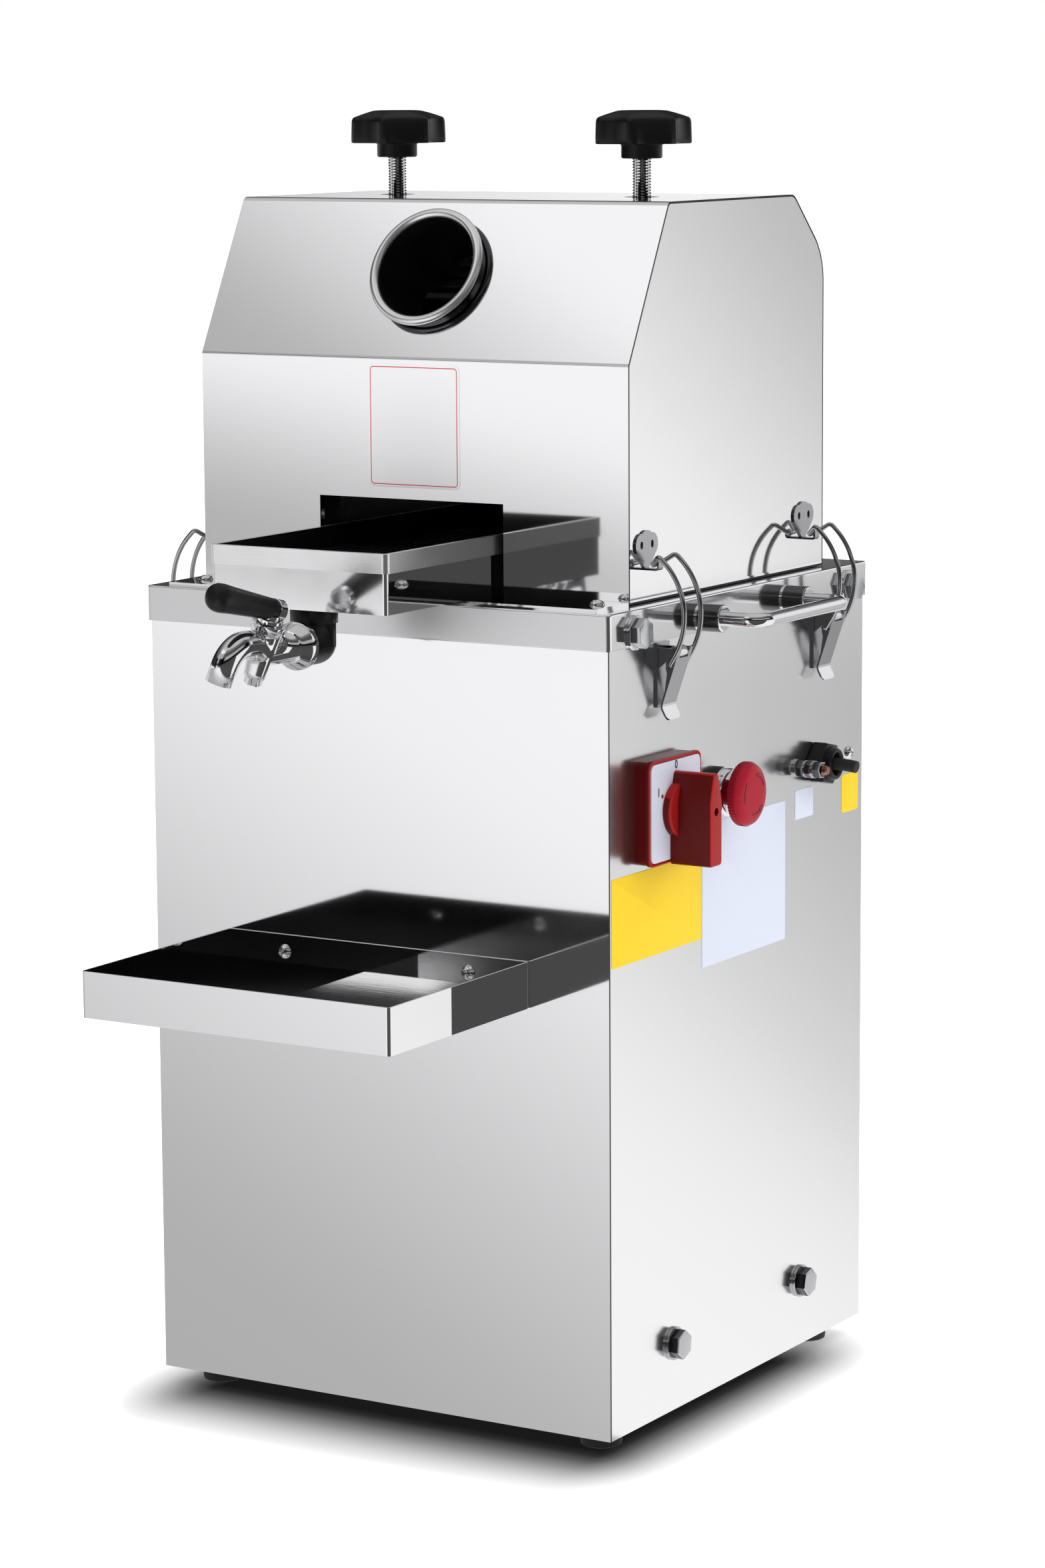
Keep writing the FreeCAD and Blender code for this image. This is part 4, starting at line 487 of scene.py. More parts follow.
def makePanScrew(shape):
    # domed head with a cross recess, along local +Z
    r, h, reach, shank, length = (shape[k] * mm for k in ("headRadius", "headHeight", "reach", "shank", "length"))
    profile = [(0, h), (r * 0.3, h * 0.97), (r * 0.6, h * 0.84), (r * 0.85, h * 0.58), (r * 0.98, h * 0.25), (r, 0),
               (shank, 0), (shank, -length), (0, -length)]
    head = spun(profile, 48, closed=False)
    half = shape["slot"] * mm / 2
    for normal in (Vector((1, 0, 0)), Vector((0, 1, 0))):
        for side in (-1, 1):
            bmesh.ops.bisect_plane(head, geom=list(head.verts) + list(head.edges) + list(head.faces), dist=1e-6,
                                   plane_co=normal * side * half, plane_no=normal)
    for v in head.verts:
        near, far = sorted((abs(v.co.x), abs(v.co.y)))
        if v.co.z > h * 0.5 and near <= half * 1.02 and far < reach * 0.8:
            v.co.z -= shape["depth"] * mm * (1 - far / reach * 0.6)
    bmesh.ops.recalc_face_normals(head, faces=head.faces)
    return head


def makeFasteners(bolt, screw):
    parts = []
    spin = random.Random(4)
    for sx in (-1, 1):
        for row in bolt["rows"]:
            for y in row["y"]:
                matrix = aim(Vector((sx * row["x"], y, row["z"])) * mm, (sx, 0, 0), spin.uniform(0, 1))
                parts.append(placed(makeBolt(bolt, row["face"], row["flat"]), matrix))
    for place, out in screwPlaces:
        parts.append(placed(makePanScrew(screw), aim(Vector(place) * mm, out, spin.uniform(0.2, 1.3))))
    return joined(*parts)


pieceFrom(makeFasteners(boltShape, screwShape), "boltsAndScrews",
          ["chrome", "boltSteel", "turnedSteel", "paintedShadeSteel"], "cabinet", ("fasteners",), 28)

collarShape = {"y": 55.0, "z": 503.0, "foot": 168.1, "end": 184.2, "rod": 5.0}


def onCollar(face):
    # the collars' round flanks, without the rod; they take dark steel as a painted dark reflection on the chrome
    x, y, z = (abs(value) / mm for value in face.center)
    away = math.hypot(y - collarShape["y"], z - collarShape["z"])
    return collarShape["foot"] < x < collarShape["end"] and away > collarShape["rod"] and abs(face.normal.x) < 0.5


handles = smoothNode("side_handles", "chrome", sharp=40)
for side in (-1, 1):
    cutAt(handles, 0, side * collarShape["foot"] * mm)
partFinish(even(handles), "paintedShadeSteel", onCollar)
print("feet, bolts and handles made")

# blank plates on the panels
plateSheet = {"sheet": 0.25, "edge": 0.05, "panel": 165.0}
hoodPlate = {"x": (-30, 36), "z": (580, 655.5), "y": -121.0, "corner": 4.0, "frame": 0.6, "inset": 1.5}
sidePlates = {"yellowPlate": {"y": (-162, -52), "z": (303, 357), "corner": 1.2, "finish": "labelYellow"},
              "whitePlate": {"y": (-51, 58), "z": (284.5, 373.7), "corner": 1.2, "finish": "labelWhite"},
              "smallPlate": {"y": (71.5, 96), "z": (359, 378), "corner": 1.0, "finish": "labelWhite"},
              "smallYellowPlate": {"y": (136, 159), "z": (354, 379), "corner": 2.5, "finish": "labelYellow"}}


def blankPlate(shape, across):
    # a plate as wide as the shape's span along the axis and as high as its z
    width, height = ((shape[k][1] - shape[k][0]) * mm for k in (across, "z"))
    return plate(width, height, plateSheet["sheet"] * mm, shape["corner"] * mm, plateSheet["edge"] * mm)


def makeHoodPlate(shape):
    # a white plate with one thin coloured line inside its edge
    bm = blankPlate(shape, "x")
    top = topFace(bm)
    bmesh.ops.inset_region(bm, faces=[top], thickness=shape["inset"] * mm)
    for face in bmesh.ops.inset_region(bm, faces=[top], thickness=shape["frame"] * mm)["faces"]:
        face.material_index = 1
    return placed(bm, wallAim(Vector((sum(shape["x"]) / 2, shape["y"], sum(shape["z"]) / 2)) * mm, (0, -1, 0)))


pieceFrom(makeHoodPlate(hoodPlate), "hoodPlate", ["printWhite", "printRed"], "hood")
for name, shape in sidePlates.items():
    middle = Vector((plateSheet["panel"], sum(shape["y"]) / 2, sum(shape["z"]) / 2)) * mm
    pieceFrom(placed(blankPlate(shape, "y"), wallAim(middle, (1, 0, 0))), name, shape["finish"], "cabinet")
print("plates made")


def onPanel(shape, out=0.0):
    # a place on the right panel, local +Z out of it
    return wallAim(Vector((shape["panel"] + out, shape["y"], shape["z"])) * mm, (1, 0, 0))


# rotary switch
switchShape = {"y": -102.0, "z": 392.5, "panel": 165.0, "stand": 10.3, "size": 64.0, "step": 3.0, "corner": 5.0,
               "insert": 59.6, "insertCorner": 4.0, "sunk": 0.6, "rise": 0.35, "seam": 0.6}
dialMarks = {"places": {"0": (90, 26.9, 21.7), "1": (150, 24.6, 19.6), "2": (30, 24.6, 19.6)}, "dot": 1.3,
             "dotSheet": 0.12, "dotRise": 0.04, "digit": 7.0, "digitSheet": 0.06, "digitBold": 0.22}
handleShape = {"disc": 17.2, "discHeight": 5.4, "above": 23.2, "below": 33.1, "width": 15.0, "tip": 5.6,
               "taper": 17.0, "height": 27.4, "corner": 2.6, "edge": 1.1, "lean": 0.04, "hole": 2.5, "holeDepth": 4.0,
               "mark": (0.9, 4.2), "markRise": 10.6, "gap": 0.5}


def makeSwitchFrame(shape):
    size, stand, step, seam, corner = (shape[k] * mm for k in ("size", "stand", "step", "seam", "corner"))
    base = plate(size - 2 * seam, size - 2 * seam, stand - step, corner, 0)
    rim = plate(size, size, step, corner, 0.0007)
    top = topFace(rim)
    bmesh.ops.inset_region(rim, faces=[top], thickness=(size - shape["insert"] * mm) / 2 - 0.001)
    bmesh.ops.translate(rim, vec=(0, 0, -shape["sunk"] * mm), verts=top.verts)
    placed(rim, Matrix.Translation((0, 0, stand - step)))
    return placed(joined(base, rim), onPanel(shape))


def makeDigit(text, marks, centre, place):
    # a digit of a dial as thin mesh, laid on its face
    curve = bpy.data.curves.new("digit" + text, "FONT")
    curve.body = text
    curve.size = marks["digit"] * mm
    curve.align_x = "CENTER"
    curve.align_y = "CENTER"
    curve.extrude = marks["digitSheet"] * mm
    curve.offset = marks["digitBold"] * mm
    lettering = bpy.data.objects.new("digit%sText" % text, curve)
    bpy.context.scene.collection.objects.link(lettering)
    bpy.context.view_layer.update()
    mesh = bpy.data.meshes.new_from_object(lettering.evaluated_get(bpy.context.evaluated_depsgraph_get()))
    bpy.data.objects.remove(lettering)
    bm = bmesh.new()
    bm.from_mesh(mesh)
    bpy.data.meshes.remove(mesh)
    bmesh.ops.remove_doubles(bm, verts=bm.verts, dist=1e-7)
    return placed(bm, place @ Matrix.Translation(centre))


def makeDial(shape, marks):
    place = onPanel(shape, shape["stand"] - shape["sunk"])
    size, face = shape["insert"] * mm, (shape["sunk"] + shape["rise"]) * mm
    insert = plate(size, size, face, shape["insertCorner"] * mm, 0.0001)
    pieceFrom(placed(insert, place), "switchInsert", "dialFace", "cabinet")
    digits, dots = [], []
    for digit, (angle, ring, dotRing) in marks["places"].items():
        turn = math.radians(angle)
        out = Vector((math.cos(turn), math.sin(turn), 0))
        digits.append(makeDigit(digit, marks, out * ring * mm + upZ * face, place))
        dot, radius = bmesh.new(), marks["dot"] * mm
        bmesh.ops.create_cone(dot, cap_ends=True, segments=24, radius1=radius, radius2=radius,
                              depth=marks["dotSheet"] * mm)
        centre = out * dotRing * mm + upZ * (face + marks["dotRise"] * mm)
        dots.append(placed(dot, place @ Matrix.Translation(centre)))
    pieceFrom(joined(*digits), "dialDigits", "printBlack", "cabinet")
    pieceFrom(joined(*dots), "dialDots", "switchRed", "cabinet")


def makeSwitchGrip(shape):
    # a tall grip with a narrow upper tip
    half, tip, above, below, height = (shape[k] * mm for k in ("width", "tip", "above", "below", "height"))
    half, tip, shoulder = half / 2, tip / 2, above - shape["taper"] * mm
    grip = bmesh.new()
    outline = ((-half, -below), (half, -below), (half, shoulder), (tip, above), (-tip, above), (-half, shoulder))
    grip.faces.new([grip.verts.new((x, y, 0)) for x, y in outline])
    low = [v for v in grip.verts if v.co.y < 0]
    high = [v for v in grip.verts if v.co.y > above - 0.001]
    softened(grip, low, shape["corner"] * mm, 6, "VERTICES")
    softened(grip, high, shape["corner"] / 2 * mm, 6, "VERTICES")
    for v in raised(grip, (0, 0, height)):
        v.co.x *= 1 - shape["lean"]
    softened(grip, [e for e in grip.edges if all(v.co.z > height * 0.9 for v in e.verts)], shape["edge"] * mm, 3)
    return grip


def drilled(piece, cutter):
    # takes the cutter's shell out of the piece's mesh
    tool = bpy.data.objects.new("cutter", bpy.data.meshes.new("cutter"))
    cutter.to_mesh(tool.data)
    cutter.free()
    bpy.context.scene.collection.objects.link(tool)
    cut = piece.modifiers.new("drill", "BOOLEAN")
    cut.operation = "DIFFERENCE"
    cut.solver = "EXACT"
    cut.object = tool
    bpy.context.view_layer.update()
    mesh = bpy.data.meshes.new_from_object(piece.evaluated_get(bpy.context.evaluated_depsgraph_get()))
    piece.modifiers.remove(cut)
    bpy.data.objects.remove(tool)
    piece.data = mesh
    return piece


def makeSwitchHandle(shape, place):
    disc, foot, height, hole, depth = (shape[k] * mm for k in ("disc", "discHeight", "height", "hole", "holeDepth"))

    # the grip's and foot disc's sides that don't face up take painted shade, a darker red
    def shaded(face):
        return abs(face.normal.x) < 0.3 and face.normal.z < 0.5

    grip = pieceFrom(placed(makeSwitchGrip(shape), place), "switchGrip", "switchRed", "switch_dial",
                     ("switch_handle",), 40)
    bottom = height - depth
    cutter = spun([(0, bottom), (hole, bottom), (hole, height + 0.002), (0, height + 0.002)], 32, closed=False)
    partFinish(drilled(grip, placed(cutter, place)), "paintedShadeRed", shaded)
    footDisc = spun([(0, 0), (disc - 0.0004, 0), (disc, 0.0005), (disc, foot - 0.0012), (disc - 0.0012, foot),
                   (0, foot)], 72, closed=False)
    partFinish(pieceFrom(placed(footDisc, place), "switchGripFoot", "switchRed", "switch_dial"),
               "paintedShadeRed", shaded)
    pin = spun([(0, 0), (hole * 0.96, 0), (hole * 0.96, 0.0008), (0, 0.0012)], 32, closed=False)
    pieceFrom(placed(pin, place @ Matrix.Translation((0, 0, bottom))), "switchHandleScrew", "printBlack",
              "switch_dial")
    width, length = (value * mm for value in shape["mark"])
    mark = placed(plate(width, length, 0.00015, 0.0004, 0),
                  place @ Matrix.Translation((0, shape["markRise"] * mm, height - 0.0001)))
    pieceFrom(mark, "switchPointer", "arrowRed", "switch_dial")


switchFrame = pieceFrom(makeSwitchFrame(switchShape), "switchFrame", "switchRed", "cabinet",
                        ("switch_frame",), 30)
# the frame's sides take painted shade, a darker red
partFinish(switchFrame, "paintedShadeRed", lambda face: abs(face.normal.x) < 0.3)
makeDial(switchShape, dialMarks)
makeSwitchHandle(handleShape, onPanel(switchShape, switchShape["stand"] + handleShape["gap"]))
print("switch made")

# stop button
stopShape = {"y": -33.0, "z": 392.5, "panel": 165.0, "bezelRadius": 15.5, "bezelStand": 12.0, "neck": 11.2,
             "radius": 20.0, "face": 27.5, "rim": 9.5, "teeth": 56, "toothDepth": 0.4, "stem": 7.0,
             "stemReach": (-14.0, 16.2), "travel": 4.4, "gasket": 5.5}
arrowShape = {"ring": 12.4, "width": 0.9, "sweep": 44, "head": 3.2, "sheet": 0.9, "sunk": 1.0,
              "starts": (20, 140, 260)}


def makeBezel(shape):
    r, h, bore = shape["bezelRadius"] * mm, shape["bezelStand"] * mm, (shape["stem"] + 0.3) * mm
    bm = spun([(bore, 0), (r, 0), (r, 0.0052), (r - 0.0005, 0.0054), (r - 0.0005, 0.0058), (r, 0.006),
               (r, h - 0.0020), (r - 0.0006, h - 0.0007), (r - 0.0018, h), (r - 0.0030, h - 0.0004),
               (bore, h - 0.002), (bore, 0.004)], 72)
    for face in bm.faces:
        face.material_index = 1 if face.calc_center_median().z < shape["gasket"] * mm else 0
    return bm


def makeMushroom(shape):
    # domed cap with fine teeth round the back of its rim and a narrower skirt behind
    r, face, rim, neck = (shape[k] * mm for k in ("radius", "face", "rim", "neck"))
    back, start = face - rim, (shape["bezelStand"] + shape["travel"]) * mm
    profile = [(0, face), (r * 0.4, face - 0.0001), (r * 0.72, face - 0.0005), (r - 0.0034, face - 0.0013),
               (r - 0.0014, face - 0.0026), (r - 0.0003, face - 0.0045), (r, face - 0.006), (r, back + 0.0045),
               (r, back + 0.0035), (r, back + 0.0007), (r - 0.0007, back), (neck + 0.0045, back - 0.0002),
               (neck + 0.001, start + 0.0001), (neck, start), (0, start)]
    bm = spun(profile, shape["teeth"] * 4, closed=False)
    for v in bm.verts:
        reach = math.hypot(v.co.x, v.co.y)
        if reach > r - 0.0016 and v.co.z < back + 0.004:
            angle = math.atan2(v.co.y, v.co.x) * shape["teeth"]
            dip = shape["toothDepth"] * mm * (0.5 - 0.5 * math.cos(angle))
            v.co.x *= 1 - dip / reach
            v.co.y *= 1 - dip / reach
    return bm


def makeTurnArrows(shape, face):
    # three thin curved arrows standing on the cap's face
    ring, side, head = (shape[k] * mm for k in ("ring", "width", "head"))
    tip = math.radians(shape["sweep"])
    arrows = []
    for start in shape["starts"]:
        arrow = bmesh.new()
        ends = [arrow.verts.new((r, 0, 0)) for r in (ring - side / 2, ring + side / 2)]
        bmesh.ops.spin(arrow, geom=ends + [arrow.edges.new(ends)], axis=(0, 0, 1), cent=(0, 0, 0), angle=tip,
                       steps=16, use_merge=False)
        corners = ((ring - head / 2, tip), (ring + head / 2, tip), (ring, tip + head / ring * 1.2))
        arrow.faces.new([arrow.verts.new((r * math.cos(t), r * math.sin(t), 0)) for r, t in corners])
        raised(arrow, (0, 0, shape["sheet"] * mm))
        arrows.append(placed(arrow, Matrix.Translation((0, 0, face - shape["sunk"] * mm))
                             @ Matrix.Rotation(math.radians(start), 4, "Z")))
    return joined(*arrows)


stopPlace = onPanel(stopShape)
pieceFrom(placed(makeBezel(stopShape), stopPlace), "stopBezelRing", ["chrome", "rubber"], "cabinet",
          ("stop_bezel",))
radius, (low, high) = stopShape["stem"] * mm, (value * mm for value in stopShape["stemReach"])
stem = spun([(0, low), (radius, low), (radius, high), (0, high)], 48, closed=False)
pieceFrom(placed(stem, stopPlace), "stopStem", "stopRed", "stop_stem", ("stop_plunger",))
pieceFrom(placed(makeMushroom(stopShape), stopPlace), "stopMushroom", "stopRed", "stop_head",
          ("stop_button",), 50)
arrows = makeTurnArrows(arrowShape, stopShape["face"] * mm)
pieceFrom(placed(arrows, stopPlace), "stopArrows", "arrowRed", "stop_head")
print("stop button made")

# earth stud, gland and cable
studShape = {"y": 73.0, "z": 392.5, "panel": 165.0, "radius": 3.0, "length": 23.0, "pitch": 1.0, "inside": 12.0,
             "across": 10.0, "washer": 5.6, "turn": 0.2, "innerNut": (-6.5, 5.0),
             "stack": (("washer", 1.5), ("nut", 5.5), ("washer", 1.2), ("nut", 4.0), ("washer", 1.0),
                       ("washer", 0.8), ("nut", 5.0))}
glandShape = {"y": 100.0, "z": 392.5, "panel": 165.0, "across": 25.0, "hexLength": 11.0, "capRadius": 10.2,
              "capLength": 4.6, "cable": 3.9, "outside": 14.0, "inside": 30.0, "droop": 9.0, "turn": 0.3,
              "neck": 8.8, "locknut": (-7.5, 6.0)}


def sideAim(shape):
    # a place on the right panel, turned about its own axis
    return aim(Vector((shape["panel"], shape["y"], shape["z"])) * mm, (1, 0, 0), shape["turn"])


def threadedRod(radius, start, end, pitch, steps=40):
    profile = [(0, start), (radius - pitch * 0.3, start)]
    level = start + pitch * 0.5
    while level < end - pitch * 0.5:
        profile += [(radius, level), (radius - pitch * 0.55, level + pitch * 0.5)]
        level += pitch
    profile += [(radius - pitch * 0.6, end), (0, end)]
    return spun(profile, steps, closed=False)


def makeEarthStud(shape):
    place = sideAim(shape)
    radius, start, end, pitch = (shape[k] * mm for k in ("radius", "inside", "length", "pitch"))
    rod = placed(threadedRod(radius, -start, end, pitch), place)
    pieces = []
    level = 0.0
    for kind, sheet in shape["stack"]:
        height = sheet * mm
        if kind == "nut":
            part = hexBar(shape["across"] * mm, height)
        else:
            part = spun(ringProfile(radius - 0.0003, shape["washer"] * mm, 0, height, 0.0002), 48)
        # painted light and shade on one steel: the nuts' flats take dark steel as painted shade, their chamfers and the
        # washers a brighter steel as painted highlight
        for face in part.faces:
            chamfer = 0.1 < abs(face.normal.z) < 0.95
            face.material_index = 1 if chamfer or kind == "washer" else 0
        pieces.append(placed(part, place @ Matrix.Translation((0, 0, level)) @ Matrix.Rotation(level * 90, 4, "Z")))
        level += height
    low, height = (value * mm for value in shape["innerNut"])
    inner = hexBar(shape["across"] * mm, height, 0.0005)
    pieces.append(placed(inner, place @ Matrix.Translation((0, 0, low))))
    return rod, joined(*pieces)


def makeGland(shape):
    # hexagon body with a rounded ring round the open seal, locknut behind the panel
    across, start, r, bore, neck = (shape[k] * mm for k in ("across", "hexLength", "capRadius", "cable", "neck"))
    body = hexBar(across, start, 0.0014)
    end = start + shape["capLength"] * mm
    cap = spun([(bore + 0.0002, start - 0.003), (r + 0.001, start - 0.003), (r + 0.001, start + 0.0008),
                (r + 0.0006, start + 0.0012), (r, start + 0.0014), (r, end - 0.0014), (r - 0.0004, end - 0.0004),
                (r - 0.0013, end), (r - 0.0026, end - 0.0003), (r - 0.0032, end - 0.0012),
                (r - 0.0036, start - 0.001), (bore + 0.0002, start - 0.001)], 84)
    sleeve = spun([(bore + 0.0004, -0.012), (neck, -0.012), (neck, 0.001), (bore + 0.0004, 0.001)], 48)
    low, height = (value * mm for value in shape["locknut"])
    lock = placed(hexBar(across, height, 0.0008), Matrix.Translation((0, 0, low)))
    return placed(joined(body, cap, sleeve, lock), sideAim(shape))


def makeCable(shape):
    # straight through the gland, then a short end that droops a little
    bm = bmesh.new()
    bmesh.ops.create_circle(bm, segments=32, radius=shape["cable"] * mm, cap_ends=True)
    straight = (shape["inside"] + shape["hexLength"] + shape["capLength"]) * mm
    angle = math.radians(shape["droop"])
    bend = shape["outside"] * mm / angle
    end = list(bm.faces)
    for step in range(9):
        made = bmesh.ops.extrude_face_region(bm, geom=end)["geom"]
        verts = [g for g in made if isinstance(g, bmesh.types.BMVert)]
        end = [g for g in made if isinstance(g, bmesh.types.BMFace)]
        if step == 0:
            bmesh.ops.translate(bm, vec=(0, 0, straight), verts=verts)
        else:
            bmesh.ops.rotate(bm, verts=verts, cent=(bend, 0, straight), matrix=Matrix.Rotation(angle / 8, 3, "Y"))
    softened(bm, list(end[0].edges), 0.0004)
    bmesh.ops.recalc_face_normals(bm, faces=bm.faces)
    start = Vector((shape["panel"] - shape["inside"], shape["y"], shape["z"])) * mm
    turn = Matrix(((0, 0, 1, 0), (0, 1, 0, 0), (-1, 0, 0, 0), (0, 0, 0, 1)))
    return placed(bm, Matrix.Translation(start) @ turn)


studRod, studNuts = makeEarthStud(studShape)
pieceFrom(studRod, "earthStudRod", "copper", "cabinet", ("earth_stud",), 25)
pieceFrom(studNuts, "earthStudNuts", ["paintedShadeSteel", "boltSteel"], "cabinet", (), 28)
pieceFrom(makeGland(glandShape), "cableGland", "blackPlastic", "cabinet", ("cable_gland",), 30)
pieceFrom(makeCable(glandShape), "supplyCable", "rubber", "cabinet", ("supply_cable",), 40)
print("stud, gland and cable made")

# hood
hoodWalls = ("hood_front", "hood_slope", "hood_top", "hood_back")
hoodSeams = {"frontToSlope": (2, 0.6503), "slopeToTop": (1, -0.066), "topToBack": (1, 0.060)}
feedShape = {"centre": (0, -94.4, 710.5), "out": (0, -0.8887, 0.4584), "lip": 6.2, "bore": 33.4, "mouth": 6.0}


def makeHoodWrap(seams):
    # the four bent walls as one sheet: the faces inside the seams go, then the rims join
    whole = joined(*(copyOfNode(node) for node in hoodWalls))
    for axis, level in seams.values():
        inside = [f for f in whole.faces if all(abs(v.co[axis] - level) < 3e-5 for v in f.verts)]
        bmesh.ops.delete(whole, geom=inside, context="FACES_ONLY")
    bmesh.ops.remove_doubles(whole, verts=whole.verts, dist=2e-5)
    return whole


def dressFeedTube(shape):
    # bright lip; darker flanks as a painted dark reflection and a dark bore as painted shade
    out = Vector(shape["out"]).normalized()

    def reachOf(face):
        # how far out of the hood and how far from the tube's axis
        away = face.center - Vector(shape["centre"]) * mm
        rise = away.dot(out)
        return rise / mm, (away - out * rise).length / mm

    tube = smoothNode("feed_tube", "rimSteel", sharp=50)
    partFinish(tube, "paintedShadeTube", lambda face: face.normal.dot(out) < -0.05 or (
        abs(face.normal.dot(out)) < 0.12 and reachOf(face)[0] < shape["lip"]))
    partFinish(tube, "paintedShadeHollow", lambda face: reachOf(face)[0] < shape["mouth"] and reachOf(face)[1] < shape["bore"])


darkEdges(even(pieceFrom(makeHoodWrap(hoodSeams), "hoodWrap", "polishedSheet", "hood",
                         hoodWalls, 40)), 0)
dressFeedTube(feedShape)
# the keepers' rims take dark steel, painted shadow round the plates where they stand off the hood
partFinish(even(smoothNode("latch_keepers", "latchSteel", sharp=30), 30), "paintedShadeSteel",
           lambda face: abs(face.normal.x) < 0.3)
print("hood made")

# knobs and pressure screws
knobShape = {"y": 8.0, "halfX": 90.0, "hub": 12.8, "low": 777.7, "seat": 786.7, "radius": 31.0, "top": 807.2,
             "lobes": 7, "cutterReach": 51.0, "cutterRadius": 24.5, "soft": 1.6, "turn": -21.0}
screwThread = {"radius": 6.0, "pitch": 1.75}


def makeKnob(shape, x):
    # round hub under a domed head with seven lobes
    r, hub, low, seat, top, reach, cutter, soft = (shape[k] * mm for k in (
        "radius", "hub", "low", "seat", "top", "cutterReach", "cutterRadius", "soft"))
    profile = [(0, low), (hub - 0.0008, low), (hub, low + 0.0008), (hub, seat - 0.001), (hub + 0.001, seat - 0.0001),
               (r - 0.0012, seat), (r - 0.0003, seat + 0.0002), (r, seat + 0.0009), (r, seat + 0.0035),
               (r - 0.0003, top - 0.0075), (r - 0.0006, top - 0.0058), (r - 0.0016, top - 0.0044),
               (r - 0.0050, top - 0.0032), (r - 0.0095, top - 0.0018), (r - 0.0135, top - 0.0007),
               (r * 0.48, top - 0.0002), (r * 0.38, top), (r * 0.36, top - 0.0004), (0, top - 0.0005)]
    bm = spun(profile, shape["lobes"] * 32, closed=False)
    step = math.tau / shape["lobes"]
    for v in bm.verts:
        radius = math.hypot(v.co.x, v.co.y)
        if v.co.z < seat - 0.0005 or radius < hub + 0.0005:
            continue
        away = (math.atan2(v.co.y, v.co.x) % step) - step / 2
        inside = cutter ** 2 - (reach * math.sin(away)) ** 2
        valley = reach * math.cos(away) - math.sqrt(inside) if inside > 0 else 2 * r
        gap = max(0.0, soft - abs(valley - r)) / soft
        limit = min(valley, r) - gap * gap * soft / 4
        share = min(1.0, (radius - hub) / (r * 0.5))
        squeeze = 1 - share * (1 - limit / r)
        v.co.x *= squeeze
        v.co.y *= squeeze
    place = Matrix.Translation((x, shape["y"] * mm, 0))
    return placed(bm, place @ Matrix.Rotation(math.radians(shape["turn"]), 4, "Z"))


for side, sign in (("left", -1), ("right", 1)):
    x = sign * knobShape["halfX"] * mm
    pieceFrom(makeKnob(knobShape, x), side + "Knob", "phenolic", "knob_" + side,
              ("star_knob_" + side,), 50)
    low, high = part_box("pressure_screw_" + side)
    rod = threadedRod(screwThread["radius"] * mm, low[2], high[2], screwThread["pitch"] * mm, 48)
    pieceFrom(placed(rod, Matrix.Translation((x, knobShape["y"] * mm, 0))), side + "PressureScrew", "chrome",
              "screw_" + side, ("pressure_screw_" + side,), 25)
    coat("screw_pad_" + side, "frameSteel")
print("knobs made")

# strainer, outlet elbow and tap
tapShape = {"y": -284.5, "z": 497.0, "roll": 19.0, "stemTop": 25.8, "back": -7.4, "rise": 11.0, "swing": 10.0,
            "thin": 6.4, "thick": 8.6, "length": 62.0, "ferrule": 6.0, "ferruleRadius": 6.8, "stem": 6.15,
            "collar": 7.7, "collarSeat": 19.3, "collarSheet": 3.0, "stemLow": -6.0}
strainerShape = {"rimFoot": 541.5, "halfX": 60.5, "y": (-243.0, 58.0)}


def tapPoint(shape, forward, up, side=0.0):
    roll = math.radians(shape["roll"])
    return Vector((up * math.sin(roll) + side * math.cos(roll), shape["y"] - forward,
                   shape["z"] + up * math.cos(roll) - side * math.sin(roll))) * mm


def gripAim(shape):
    # where the ferrule starts, local +Z along the grip
    rise, swing = math.radians(shape["rise"]), math.radians(shape["swing"])
    ahead = tapPoint(shape, math.cos(rise) * math.cos(swing), math.sin(rise), -math.cos(rise) * math.sin(swing))
    return aim(tapPoint(shape, shape["back"], shape["stemTop"]), ahead - tapPoint(shape, 0, 0))


def makeLeverMetal(shape):
    # plug stem with its collar, and the ferrule that carries the sleeve
    stem, collar, ferrule, reach = (shape[k] * mm for k in ("stem", "collar", "ferruleRadius", "ferrule"))
    low, seat, top, sheet = (shape[k] * mm for k in ("stemLow", "collarSeat", "stemTop", "collarSheet"))
    soft = 0.0004
    turned = spun([(0, low), (stem, low), *ringProfile(stem, collar, seat, seat + sheet, soft),
                   (stem, top - 0.001), (0, top - 0.001)], 48, closed=False)
    placed(turned, aim(tapPoint(shape, 0, 0), tapPoint(shape, 0, 1) - tapPoint(shape, 0, 0)))
    band = spun(ringProfile(0, ferrule, 0, reach, soft), 48, closed=False)
    return joined(turned, placed(band, gripAim(shape)))


def makeTapGrip(shape):
    # tapered sleeve with a rounded end over the metal lever's ferrule
    thin, thick, length, start = (shape[k] * mm for k in ("thin", "thick", "length", "ferrule"))
    end = length - 0.001
    profile = [(0, start), (thin - 0.0004, start), (thin, start + 0.0005), (thin + 0.0003, start + 0.008),
               (thick - 0.0006, end - 0.016), (thick, end - 0.008), (thick - 0.0002, end - 0.0045),
               (thick - 0.0012, end - 0.002), (thick - 0.0034, end - 0.0004), (thick * 0.3, end), (0, end)]
    return placed(spun(profile, 56, closed=False), gripAim(shape))


def inStrainer(face):
    # everything below and inside the folded rim
    x, y, z = (value / mm for value in face.center)
    low, high = strainerShape["y"]
    return z < strainerShape["rimFoot"] or (abs(x) < strainerShape["halfX"] and low < y < high)


pieceFrom(makeLeverMetal(tapShape), "tapLeverMetal", "chrome", "tap_handle", (), 40)
pieceFrom(makeTapGrip(tapShape), "tapGrip", "blackPlastic", "tap_handle", ("tap_lever",), 50)
smoothNode("tap_body", "chrome", sharp=45)
smoothNode("outlet_elbow", "blackPlastic", sharp=40)
